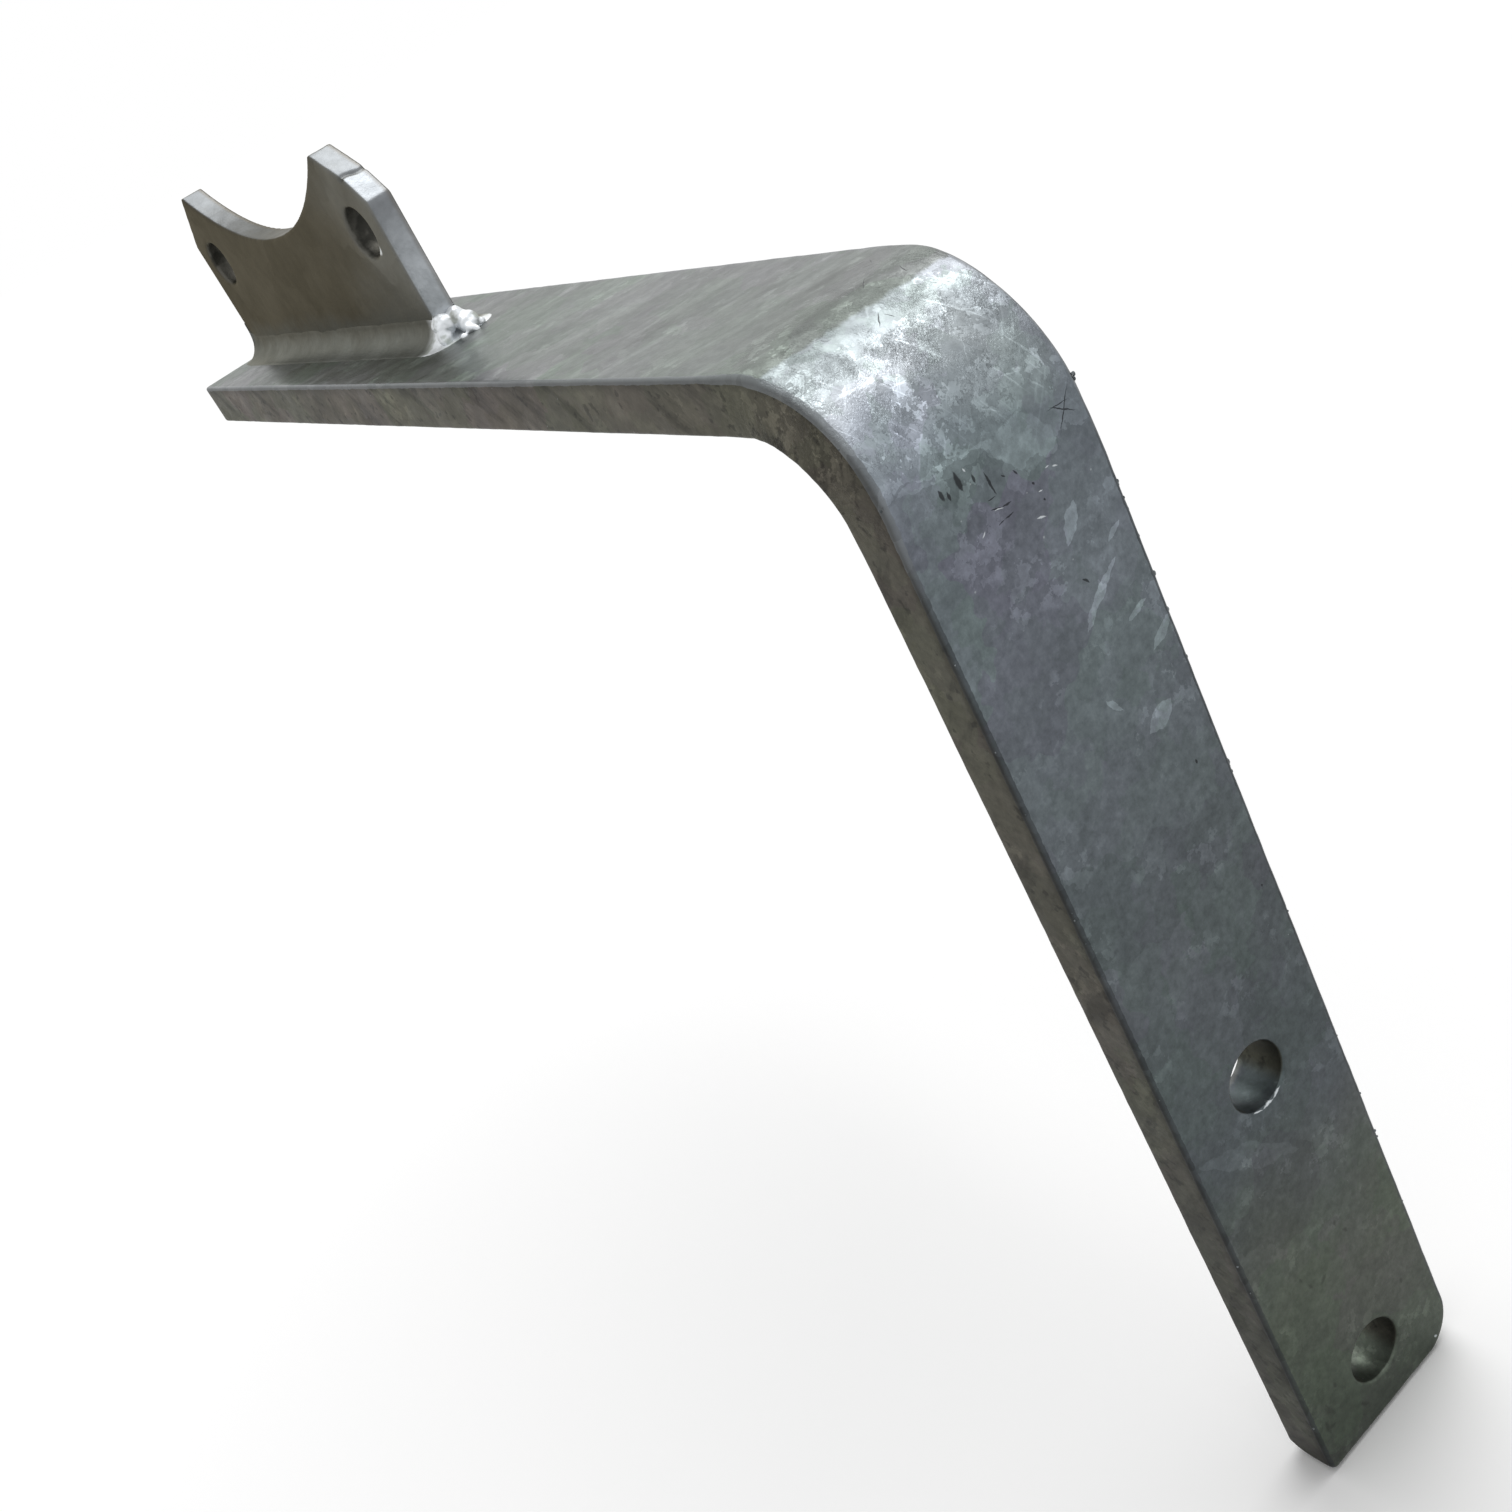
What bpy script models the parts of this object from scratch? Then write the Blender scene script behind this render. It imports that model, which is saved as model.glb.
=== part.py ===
"""Galvanised support bracket: a flat bar bent square, with a saddle plate welded upright on its arm.

The leg of the bar is bolted to a wall or a post through two holes. The arm reaches out level, and the
saddle plate near its free end carries a round pipe or tank in its notch, strapped down through two holes.

The origin is on the wall face of the leg, halfway between the bolt holes and on the bar's centre line.
+X points out of the wall face, +Y runs across the bar and +Z is up.
"""

import math

import bmesh
import bpy

# Bar: 40 x 10 flat bar, with the zinc counted in its thickness
BAR_WIDTH = 0.040
BAR_THICKNESS = 0.0102
ARM_LENGTH = 0.280
LEG_LENGTH = 0.240
INNER_BEND_RADIUS = 0.0136

# Cold bending draws in the outside edges of the bend and swells the inside ones, each by this much
BEND_DRAW_IN = 0.0013
BEND_SWELL = 0.0009
BEND_RUN_OUT = 0.010

# The corners of the leg's lower end, knocked off with the shears
FRONT_CORNER_RADIUS = 0.0035
BACK_CORNER_RADIUS = 0.009
BAR_EDGE_RADIUS = 0.0008

# Bolt holes in the leg
BOLT_HOLE_DIAMETER = 0.013
BOLT_HOLE_PITCH = 0.075
BOLT_HOLE_END_DISTANCE = 0.015

# Saddle plate, with its notch a little nearer the free end than its middle
PLATE_LENGTH = 0.120
PLATE_THICKNESS = 0.006
PLATE_HEIGHT = 0.043
PLATE_SETBACK = 0.005
SADDLE_RADIUS = 0.080
SADDLE_FLOOR_HEIGHT = 0.0285
SADDLE_OFFSET = 0.0028
PLATE_EDGE_RADIUS = 0.0005

# The cut across each horn runs up to a narrow tip. The one nearer the bend was made in two strokes:
# at 45 degrees up to the kink, and flatter from there.
HORN_CUT_HEIGHT = 0.012
HORN_KINK_HEIGHT = 0.006
HORN_TIP_WIDTH = 0.001

# Strap holes in the horns of the saddle plate
STRAP_HOLE_DIAMETER = 0.011
STRAP_HOLE_END_DISTANCE = 0.011
STRAP_HOLE_HEIGHT = 0.0255

# Weld bead: its legs along the plate's sides and at the end that faces the bend
SIDE_WELD_LEG = 0.0035
END_WELD_HEIGHT = 0.0065
BEND_END_WELD_REACH = 0.0085
WELD_RIPPLE_PITCH = 0.0032
WELD_RIPPLE_DEPTH = 0.00018
END_WELD_TAPER = 0.010

# Gap that is left between pieces that touch, and the height left clear above the weld's toe
SEAT_GAP = 0.0003
WELD_CLEARANCE = 0.001

# Smoothness of the curved forms
BEND_STEPS = 20
RUN_OUT_STEPS = 5
CORNER_STEPS = 7
HOLE_SIDES = 40
SADDLE_SIDES = 240
WELD_FACE_STEPS = 6
WELD_STEPS_PER_RIPPLE = 2
WELD_CORNER_STEPS = 6

# Places that follow from the sizes above
OUTER_BEND_RADIUS = INNER_BEND_RADIUS + BAR_THICKNESS
LEG_END_Z = -(BOLT_HOLE_PITCH / 2 + BOLT_HOLE_END_DISTANCE)
ARM_TOP_Z = LEG_END_Z + LEG_LENGTH
BEND_CENTRE_X = -OUTER_BEND_RADIUS
BEND_CENTRE_Z = ARM_TOP_Z - OUTER_BEND_RADIUS
PLATE_CENTRE_X = -ARM_LENGTH + PLATE_SETBACK + PLATE_LENGTH / 2
PLATE_FOOT_Z = ARM_TOP_Z + SEAT_GAP
PLATE_TOP_Z = ARM_TOP_Z + PLATE_HEIGHT
SADDLE_CENTRE_X = PLATE_CENTRE_X - SADDLE_OFFSET
SADDLE_CENTRE_Z = ARM_TOP_Z + SADDLE_FLOOR_HEIGHT + SADDLE_RADIUS
CLEAR_PLATE_Z = PLATE_FOOT_Z + END_WELD_HEIGHT + WELD_CLEARANCE
BEVEL_ANGLE = math.radians(40)


def clear_scene():
    """Empties the scene of whatever the file was opened with."""
    for item in list(bpy.data.objects):
        bpy.data.objects.remove(item, do_unlink=True)


def make_material(name, colour, roughness, metallic):
    """A plain Principled BSDF with one colour."""
    material = bpy.data.materials.new(name)
    material.use_nodes = True
    shader = material.node_tree.nodes["Principled BSDF"]
    shader.inputs["Base Color"].default_value = (*colour, 1.0)
    shader.inputs["Roughness"].default_value = roughness
    shader.inputs["Metallic"].default_value = metallic
    return material


def make_object(name, mesh_builder, material=None):
    """Turns a bmesh into an object, with its faces pointing outwards."""
    bmesh.ops.recalc_face_normals(mesh_builder, faces=mesh_builder.faces)
    mesh = bpy.data.meshes.new(name)
    mesh_builder.to_mesh(mesh)
    mesh_builder.free()
    item = bpy.data.objects.new(name, mesh)
    bpy.context.collection.objects.link(item)
    if material:
        mesh.materials.append(material)
    return item


def make_drill(name, diameter, length, sides, place, axis):
    """A cylinder along X or Y that is only used to cut."""
    builder = bmesh.new()
    bmesh.ops.create_cone(builder, cap_ends=True, segments=sides, radius1=diameter / 2,
                          radius2=diameter / 2, depth=length)
    drill = make_object(name, builder)
    drill.location = place
    drill.rotation_euler = (0, math.pi / 2, 0) if axis == "X" else (math.pi / 2, 0, 0)
    drill.hide_render = True
    drill.display_type = "WIRE"
    return drill


def cut(item, drill):
    """Takes the drill's shape out of the item."""
    boolean = item.modifiers.new("cut " + drill.name, "BOOLEAN")
    boolean.operation = "DIFFERENCE"
    boolean.solver = "EXACT"
    boolean.object = drill


def round_edges(item, radius, segments):
    """Rounds every edge that is sharper than the bevel angle."""
    bevel = item.modifiers.new("rounded edges", "BEVEL")
    bevel.limit_method = "ANGLE"
    bevel.angle_limit = BEVEL_ANGLE
    bevel.width = radius
    bevel.segments = segments
    item.data.shade_smooth()
    item.data.set_sharp_from_angle(angle=BEVEL_ANGLE)


def bridge_rings(builder, rings, closed):
    """Joins each ring of points to the next with faces, and the last to the first if closed."""
    count = len(rings)
    last = count if closed else count - 1
    for index in range(last):
        here = rings[index]
        there = rings[(index + 1) % count]
        for corner in range(len(here)):
            after = (corner + 1) % len(here)
            builder.faces.new((here[corner], here[after], there[after], there[corner]))


def smooth_step(value):
    """0 below 0, 1 above 1, and a soft rise between."""
    value = min(max(value, 0.0), 1.0)
    return value * value * (3 - 2 * value)


# Bent bar: the section runs along the arm, round the bend and down the leg

def bend_strain(distance):
    """How much of the bend's draw-in and swelling is there, at a distance from the bend's middle."""
    half_bend = math.pi / 4 * (INNER_BEND_RADIUS + BAR_THICKNESS / 2)
    reach = half_bend + BEND_RUN_OUT
    if distance >= reach:
        return 0.0
    return 0.5 + 0.5 * math.cos(math.pi * distance / reach)


def corner_half_width(distance, radius):
    """Half width of the bar at a distance from its lower end, where the corner is rounded."""
    if distance >= radius:
        return BAR_WIDTH / 2
    inset = radius - math.sqrt(max(radius ** 2 - (radius - distance) ** 2, 0.0))
    return BAR_WIDTH / 2 - inset


def bar_stations():
    """Each station is a place on the outer face, the way into the bar, and the strain and end distance."""
    half_bend = math.pi / 4 * (INNER_BEND_RADIUS + BAR_THICKNESS / 2)
    run_outs = [BEND_RUN_OUT * step / RUN_OUT_STEPS for step in range(RUN_OUT_STEPS + 1)]
    stations = [((-ARM_LENGTH, ARM_TOP_Z), (0, -1), 0.0, LEG_LENGTH)]
    for run_out in reversed(run_outs[1:]):
        place = (BEND_CENTRE_X - run_out, ARM_TOP_Z)
        stations.append((place, (0, -1), bend_strain(half_bend + run_out), LEG_LENGTH))
    for step in range(BEND_STEPS + 1):
        angle = math.pi / 2 * step / BEND_STEPS
        outward = (math.sin(angle), math.cos(angle))
        place = (BEND_CENTRE_X + OUTER_BEND_RADIUS * outward[0], BEND_CENTRE_Z + OUTER_BEND_RADIUS * outward[1])
        strain = bend_strain(half_bend * abs(step / BEND_STEPS * 2 - 1))
        stations.append((place, (-outward[0], -outward[1]), strain, LEG_LENGTH))
    for run_out in run_outs[1:]:
        place = (0, BEND_CENTRE_Z - run_out)
        stations.append((place, (-1, 0), bend_strain(half_bend + run_out), LEG_LENGTH))
    distances = {0.0}
    for radius in (FRONT_CORNER_RADIUS, BACK_CORNER_RADIUS):
        for step in range(CORNER_STEPS):
            distances.add(radius * (1 - math.sin(math.pi / 2 * step / CORNER_STEPS)))
    for distance in sorted(distances, reverse=True):
        stations.append(((0, LEG_END_Z + distance), (-1, 0), 0.0, distance))
    return stations


def build_bent_bar(material):
    """The bar, with its bolt holes drilled through the leg."""
    builder = bmesh.new()
    rings = []
    for (x, z), (inward_x, inward_z), strain, end_distance in bar_stations():
        front = corner_half_width(end_distance, FRONT_CORNER_RADIUS)
        back = corner_half_width(end_distance, BACK_CORNER_RADIUS)
        draw_in = BEND_DRAW_IN * strain
        swell = BEND_SWELL * strain
        inner_x = x + inward_x * BAR_THICKNESS
        inner_z = z + inward_z * BAR_THICKNESS
        corners = ((x, -front + draw_in, z), (x, back - draw_in, z),
                   (inner_x, back + swell, inner_z), (inner_x, -front - swell, inner_z))
        rings.append([builder.verts.new(corner) for corner in corners])
    bridge_rings(builder, rings, closed=False)
    builder.faces.new(rings[0])
    builder.faces.new(rings[-1])
    bar = make_object("bent_bar", builder, material)
    drill_length = BAR_THICKNESS * 3
    for name, z in (("lower_bolt_drill", -BOLT_HOLE_PITCH / 2), ("upper_bolt_drill", BOLT_HOLE_PITCH / 2)):
        place = (-BAR_THICKNESS / 2, 0, z)
        cut(bar, make_drill(name, BOLT_HOLE_DIAMETER, drill_length, HOLE_SIDES, place, "X"))
    round_edges(bar, BAR_EDGE_RADIUS, 2)
    return bar


# Saddle plate: a plate with a pipe's curve cut out of its top edge, which leaves two pointed horns

def plate_outline():
    """Corners of the plate before the notch is cut, from its foot at the free end round to its side."""
    free_end = PLATE_CENTRE_X - PLATE_LENGTH / 2
    bend_end = PLATE_CENTRE_X + PLATE_LENGTH / 2
    knee = PLATE_TOP_Z - HORN_CUT_HEIGHT
    notch_rise = SADDLE_CENTRE_Z - PLATE_TOP_Z
    tip_reach = math.sqrt(SADDLE_RADIUS ** 2 - notch_rise ** 2) + HORN_TIP_WIDTH
    return ((free_end, PLATE_FOOT_Z), (bend_end, PLATE_FOOT_Z), (bend_end, knee),
            (bend_end - HORN_KINK_HEIGHT, knee + HORN_KINK_HEIGHT), (SADDLE_CENTRE_X + tip_reach, PLATE_TOP_Z),
            (SADDLE_CENTRE_X - tip_reach, PLATE_TOP_Z), (free_end, knee))


def build_saddle_plate(material):
    """The plate stands along the arm, centred across it, with a hole in each horn."""
    builder = bmesh.new()
    front_corners = [builder.verts.new((x, -PLATE_THICKNESS / 2, z)) for x, z in plate_outline()]
    front_face = builder.faces.new(front_corners)
    extruded = bmesh.ops.extrude_face_region(builder, geom=[front_face])
    moved = [part for part in extruded["geom"] if isinstance(part, bmesh.types.BMVert)]
    bmesh.ops.translate(builder, verts=moved, vec=(0, PLATE_THICKNESS, 0))
    # A line round the plate above the weld makes the clear part of each side a face of its own
    whole = builder.verts[:] + builder.edges[:] + builder.faces[:]
    bmesh.ops.bisect_plane(builder, geom=whole, plane_co=(0, 0, CLEAR_PLATE_Z), plane_no=(0, 0, 1))
    plate = make_object("saddle_plate", builder, material)
    drill_length = PLATE_THICKNESS * 3
    pipe = make_drill("pipe_cutter", SADDLE_RADIUS * 2, drill_length, SADDLE_SIDES,
                      (SADDLE_CENTRE_X, 0, SADDLE_CENTRE_Z), "Y")
    cut(plate, pipe)
    for name, side in (("outer_strap_drill", -1), ("inner_strap_drill", 1)):
        hole_x = PLATE_CENTRE_X + side * (PLATE_LENGTH / 2 - STRAP_HOLE_END_DISTANCE)
        place = (hole_x, 0, ARM_TOP_Z + STRAP_HOLE_HEIGHT)
        cut(plate, make_drill(name, STRAP_HOLE_DIAMETER, drill_length, HOLE_SIDES, place, "Y"))
    round_edges(plate, PLATE_EDGE_RADIUS, 2)
    return plate


# Weld bead: one rippled fillet that runs all round the foot of the plate

def weld_path():
    """Points round the plate's foot, each with its outward way and how near it is to each end."""
    half = PLATE_LENGTH / 2 - PLATE_EDGE_RADIUS
    depth = PLATE_THICKNESS / 2 - PLATE_EDGE_RADIUS
    side_steps = max(8, round(2 * half / WELD_RIPPLE_PITCH * WELD_STEPS_PER_RIPPLE))
    points = []
    for side in (-1, 1):
        for step in range(side_steps):
            along = -side * half + side * 2 * half * step / side_steps
            points.append((along, side * depth * -1, -math.pi / 2 * side))
        start = -math.pi / 2 * side
        for step in range(2 * WELD_CORNER_STEPS):
            turn = step / (2 * WELD_CORNER_STEPS)
            end_y = -side * depth if turn < 0.5 else side * depth
            points.append((side * half, end_y, start + math.pi * turn))
    return points


def build_weld_bead(material):
    """A fillet of weld metal, small along the sides of the plate and heavy at its two ends."""
    builder = bmesh.new()
    rings = []
    free_reach = PLATE_SETBACK - BAR_EDGE_RADIUS - SEAT_GAP
    half = PLATE_LENGTH / 2
    for index, (along, across, angle) in enumerate(weld_path()):
        outward = (math.cos(angle), math.sin(angle))
        end_reach = BEND_END_WELD_REACH if along > 0 else free_reach
        end_share = smooth_step(1 - (half - abs(along)) / END_WELD_TAPER) * 0.5
        end_share = max(end_share, abs(outward[0]))
        ripple = WELD_RIPPLE_DEPTH * math.cos(math.pi * index)
        reach = SIDE_WELD_LEG + (end_reach - SIDE_WELD_LEG) * end_share + ripple
        height = SIDE_WELD_LEG + (END_WELD_HEIGHT - SIDE_WELD_LEG) * end_share + ripple
        fullness = 0.3 + 0.4 * end_share
        section = [(0.0, 0.0)]
        for step in range(WELD_FACE_STEPS + 1):
            turn = math.pi / 2 * step / WELD_FACE_STEPS
            hollow = (1 - math.sin(turn), 1 - math.cos(turn))
            full = (math.cos(turn), math.sin(turn))
            section.append((reach * (hollow[0] + (full[0] - hollow[0]) * fullness),
                            height * (hollow[1] + (full[1] - hollow[1]) * fullness)))
        ring = []
        for away, up in section:
            distance = PLATE_EDGE_RADIUS + SEAT_GAP + away
            ring.append(builder.verts.new((PLATE_CENTRE_X + along + outward[0] * distance,
                                           across + outward[1] * distance, PLATE_FOOT_Z + up)))
        rings.append(ring)
    bridge_rings(builder, rings, closed=True)
    bead = make_object("weld_bead", builder, material)
    bead.data.shade_smooth()
    bead.data.set_sharp_from_angle(angle=BEVEL_ANGLE)
    return bead


clear_scene()
bar_zinc = make_material("bar zinc", (0.30, 0.32, 0.33), 0.42, 0.85)
plate_zinc = make_material("plate zinc", (0.26, 0.25, 0.23), 0.5, 0.8)
weld_zinc = make_material("weld zinc", (0.52, 0.54, 0.55), 0.32, 0.9)
build_bent_bar(bar_zinc)
build_saddle_plate(plate_zinc)
build_weld_bead(weld_zinc)
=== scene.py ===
# %% [markdown]
# # A galvanised support bracket
#
# The bracket is a 40 x 10 mm flat bar, bent square. Its leg is bolted to a wall, and a plate with a
# round notch stands welded near the free end of its arm. After welding, the whole bracket was dipped
# in molten zinc, and that zinc is what is seen: soft edges, crystals, runs and a crackled bend.
#
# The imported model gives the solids, and this lesson makes their surface. The bar, the plate and the
# weld each replace the solid of the same shape, and small zinc pips are added to the bar. All of it
# stays inside the solids' common box.

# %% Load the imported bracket
import math
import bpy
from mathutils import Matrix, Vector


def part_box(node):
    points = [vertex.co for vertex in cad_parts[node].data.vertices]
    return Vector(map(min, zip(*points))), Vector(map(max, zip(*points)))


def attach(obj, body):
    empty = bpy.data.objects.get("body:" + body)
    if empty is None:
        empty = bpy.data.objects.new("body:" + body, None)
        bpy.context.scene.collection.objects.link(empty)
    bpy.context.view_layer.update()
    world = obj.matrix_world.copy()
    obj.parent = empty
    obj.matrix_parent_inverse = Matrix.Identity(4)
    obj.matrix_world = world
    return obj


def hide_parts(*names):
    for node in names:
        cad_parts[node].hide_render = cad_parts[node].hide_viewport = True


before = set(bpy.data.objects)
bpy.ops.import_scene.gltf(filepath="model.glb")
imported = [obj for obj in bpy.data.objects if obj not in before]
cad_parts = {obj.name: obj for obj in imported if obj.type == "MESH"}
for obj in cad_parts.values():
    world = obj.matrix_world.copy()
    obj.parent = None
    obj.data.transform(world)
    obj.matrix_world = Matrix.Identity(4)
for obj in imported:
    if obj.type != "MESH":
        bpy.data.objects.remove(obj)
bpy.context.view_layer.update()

from types import SimpleNamespace

import bmesh
import bpy
import numpy as np
from mathutils import Vector, noise

bar_low, bar_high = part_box("bent_bar")
plate_low, plate_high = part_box("saddle_plate")
print("bar from", tuple(round(x, 4) for x in bar_low), "to", tuple(round(x, 4) for x in bar_high))

# %% [markdown]
# ## Helpers for meshes
#
# A piece is made in steps: points and faces, then cuts and smoothing by modifiers, then one plain
# mesh. `freeze` does the last step. It asks Blender for the evaluated mesh, which holds what the
# modifiers made, and puts it in a new object at the origin.

# %% Mesh helpers
MILLIMETRE = 0.001


def new_object(name, mesh):
    """An object for the mesh, in the scene, at the origin."""
    item = bpy.data.objects.new(name, mesh)
    bpy.context.scene.collection.objects.link(item)
    return item


def mesh_from(name, points, faces):
    """A closed mesh of these points and faces, with its faces turned outwards."""
    mesh = bpy.data.meshes.new(name)
    mesh.from_pydata([tuple(point) for point in points], [], faces)
    builder = bmesh.new()
    builder.from_mesh(mesh)
    bmesh.ops.recalc_face_normals(builder, faces=builder.faces)
    builder.to_mesh(mesh)
    builder.free()
    return mesh


def ring_faces(rings, count, closed=False):
    """Four-sided faces between rings of points. A closed path joins the last ring to the first too."""
    faces = []
    for ring in range(rings if closed else rings - 1):
        low = ring * count
        high = (ring + 1) % rings * count
        for point in range(count):
            after = (point + 1) % count
            faces.append((low + point, high + point, high + after, low + after))
    return faces


def end_faces(rings, count):
    """The two faces that close the ends of a path of rings."""
    return [tuple(range(count)), tuple(range((rings - 1) * count, rings * count))]


def freeze(item, name):
    """A plain mesh of what the item's modifiers make. The item itself is removed."""
    graph = bpy.context.evaluated_depsgraph_get()
    mesh = bpy.data.meshes.new_from_object(item.evaluated_get(graph))
    mesh.name = name
    bpy.data.objects.remove(item)
    return new_object(name, mesh)


def positions(mesh):
    """The mesh's points as an array."""
    values = np.zeros(len(mesh.vertices) * 3, np.float32)
    mesh.vertices.foreach_get("co", values)
    return values.reshape(-1, 3).astype(float)


def point_normals(mesh):
    """The mesh's normals at its points as an array."""
    values = np.zeros(len(mesh.vertices) * 3, np.float32)
    mesh.vertex_normals.foreach_get("vector", values)
    return values.reshape(-1, 3).astype(float)


def set_positions(mesh, points):
    """Moves the mesh's points."""
    mesh.vertices.foreach_set("co", points.astype(np.float32).ravel())
    mesh.update()


def store(mesh, name, values):
    """Keeps a number or a vector for each point, which a material can read by its name."""
    kind = "FLOAT_VECTOR" if values.ndim == 2 else "FLOAT"
    attribute = mesh.attributes.new(name, kind, "POINT")
    attribute.data.foreach_set("vector" if values.ndim == 2 else "value", values.astype(np.float32).ravel())


def noise_at(points, size, seed):
    """Smooth noise from -1 to 1 whose lumps are about as wide as size."""
    shift = Vector((seed * 7.3, seed * 3.1, seed * 5.7))
    return np.array([noise.noise(Vector(point) / size + shift) for point in points])


def smooth_step(values):
    """0 below 0, 1 above 1, and a soft rise between."""
    values = np.clip(values, 0, 1)
    return values * values * (3 - 2 * values)


def report(item):
    """Prints how large a piece came out."""
    mesh = item.data
    mesh.calc_loop_triangles()
    print(item.name, len(mesh.vertices), "points", len(mesh.loop_triangles), "triangles")


# %% [markdown]
# ## The bar, flat and bent
#
# The maker bends a straight bar, and so does this lesson. Every point of the bar has a flat place:
# how far it is along the outer face, how far across, and how deep. One function bends a flat place
# into its real place, and another one finds the flat place of a point.
# The materials read the flat place too, so that crystals and scratches run on round the bend.

# %% Bend and unbend
BAR_WIDTH = 0.040
BAR_THICKNESS = 0.0102
OUTER_BEND_RADIUS = 0.0238
ARM_TOP = bar_high.z
LEG_END = bar_low.z
ARM_FLAT = -bar_low.x - OUTER_BEND_RADIUS
BEND_FLAT = OUTER_BEND_RADIUS * math.pi / 2
LEG_FLAT = ARM_TOP - LEG_END - OUTER_BEND_RADIUS
BAR_FLAT = ARM_FLAT + BEND_FLAT + LEG_FLAT
BEND_MIDDLE = ARM_FLAT + BEND_FLAT / 2
BEND_CENTRE = (-OUTER_BEND_RADIUS, ARM_TOP - OUTER_BEND_RADIUS)
STRAIN_RUN_OUT = 0.012


def bend(flat):
    """Real places of flat places, which are rows of along, across and depth."""
    along, across, depth = flat.T
    angle = np.clip((along - ARM_FLAT) / OUTER_BEND_RADIUS, 0, math.pi / 2)
    radius = OUTER_BEND_RADIUS - depth
    before = np.minimum(along - ARM_FLAT, 0)
    after = np.maximum(along - ARM_FLAT - BEND_FLAT, 0)
    x = BEND_CENTRE[0] + radius * np.sin(angle) + before
    z = BEND_CENTRE[1] + radius * np.cos(angle) - after
    return np.stack([x, across, z], axis=1)


def unbend(points):
    """Flat places of points on the bent bar."""
    x, y, z = points.T
    right = x - BEND_CENTRE[0]
    up = z - BEND_CENTRE[1]
    in_bend = (right > 0) & (up > 0)
    on_leg = (up <= 0) & (right > 0)
    angle = np.arctan2(np.maximum(right, 1e-9), np.maximum(up, 1e-9))
    along = np.where(in_bend, ARM_FLAT + angle * OUTER_BEND_RADIUS, ARM_FLAT + right)
    along = np.where(on_leg, ARM_FLAT + BEND_FLAT - up, along)
    depth = np.where(in_bend, OUTER_BEND_RADIUS - np.hypot(right, up), ARM_TOP - z)
    depth = np.where(on_leg, -x, depth)
    return np.stack([along, y, depth], axis=1)


def bend_strain(along):
    """1 in the middle of the bend, falling to 0 a little way past its ends."""
    reach = BEND_FLAT / 2 + STRAIN_RUN_OUT
    share = np.clip(np.abs(along - BEND_MIDDLE) / reach, 0, 1)
    return 0.5 + 0.5 * np.cos(math.pi * share)


print("flat length of the outer face", round(BAR_FLAT, 4), "m, middle of the bend at", round(BEND_MIDDLE, 4))

# %% [markdown]
# ## The bar's section
#
# The section is a rectangle whose corners zinc has rounded. Bending changes it: the outer edges are
# drawn in and flattened to a wide lip, and the inner edges swell. At both ends of the bar the section
# shrinks a little, which rounds the end's edges. At the leg's end the two corners have radii of their
# own, and the end falls back over its thickness, most at the inner edge, as a sheared end does.

# %% Section and stations
EDGE_RADIUS = 0.0008
BEND_LIP = 0.0011
DRAW_IN = 0.0013
SWELL = 0.0008
FRONT_CORNER = 0.0021
BACK_CORNER = 0.009
END_CREST = 0.4
END_OUTER_FALL = 0.0004
END_INNER_FALL = 0.0026
END_FULLNESS = 3.5
END_FALL_REACH = 0.008
COARSE_STEP = 0.0016
FINE_STEP = 0.0007
FINE_REACH = 0.014
SMALLEST_STEP = 0.00003
END_STEPS = 6
CORNER_STEPS = 12
ARC_STEPS = 4
OUTER_STEPS = 30
INNER_STEPS = 20
SIDE_STEPS = 7


def section_points(front, back, strain, inset):
    """Across and depth of one section's points, with front and back half widths."""
    outer = EDGE_RADIUS + BEND_LIP * strain
    corners = ((-front, 0, outer, 180, OUTER_STEPS), (back, 0, outer, 270, SIDE_STEPS),
               (back, BAR_THICKNESS, EDGE_RADIUS, 0, INNER_STEPS),
               (-front, BAR_THICKNESS, EDGE_RADIUS, 90, SIDE_STEPS))
    arcs = []
    for across, depth, radius, start, steps in corners:
        turn = max(radius - inset, 0.00005)
        centre_across = across - math.copysign(inset + turn, across)
        centre_depth = inset + turn if depth == 0 else depth - inset - turn
        angles = [math.radians(start + 90 * step / ARC_STEPS) for step in range(ARC_STEPS + 1)]
        arcs.append([(centre_across + turn * math.cos(a), centre_depth + turn * math.sin(a)) for a in angles])
    points = []
    for index, corner in enumerate(corners):
        points.extend(arcs[index])
        first = arcs[index][-1]
        last = arcs[(index + 1) % 4][0]
        steps = corner[4]
        for step in range(1, steps):
            share = step / steps
            points.append((first[0] + (last[0] - first[0]) * share, first[1] + (last[1] - first[1]) * share))
    return points


def corner_half_width(end_distance, radius):
    """Half width near the lower end, where a corner is rounded."""
    if end_distance >= radius:
        return BAR_WIDTH / 2
    return BAR_WIDTH / 2 - radius + math.sqrt(max(radius ** 2 - (radius - end_distance) ** 2, 0.0))


def end_inset(end_distance):
    """How far the section has shrunk at a distance from an end."""
    if end_distance >= EDGE_RADIUS:
        return 0.0
    return EDGE_RADIUS - math.sqrt(EDGE_RADIUS ** 2 - (EDGE_RADIUS - end_distance) ** 2)


def end_fall(along, depth):
    """How far the lower end falls back: it was sheared, so its inner edge is rounder than its outer one."""
    share = depth / BAR_THICKNESS - END_CREST
    if share < 0:
        fall = END_OUTER_FALL * (share / END_CREST) ** 2
    else:
        fall = END_INNER_FALL * (share / (1 - END_CREST)) ** END_FULLNESS
    return fall * float(smooth_step(np.array(1 - (BAR_FLAT - along) / END_FALL_REACH)))


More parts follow.
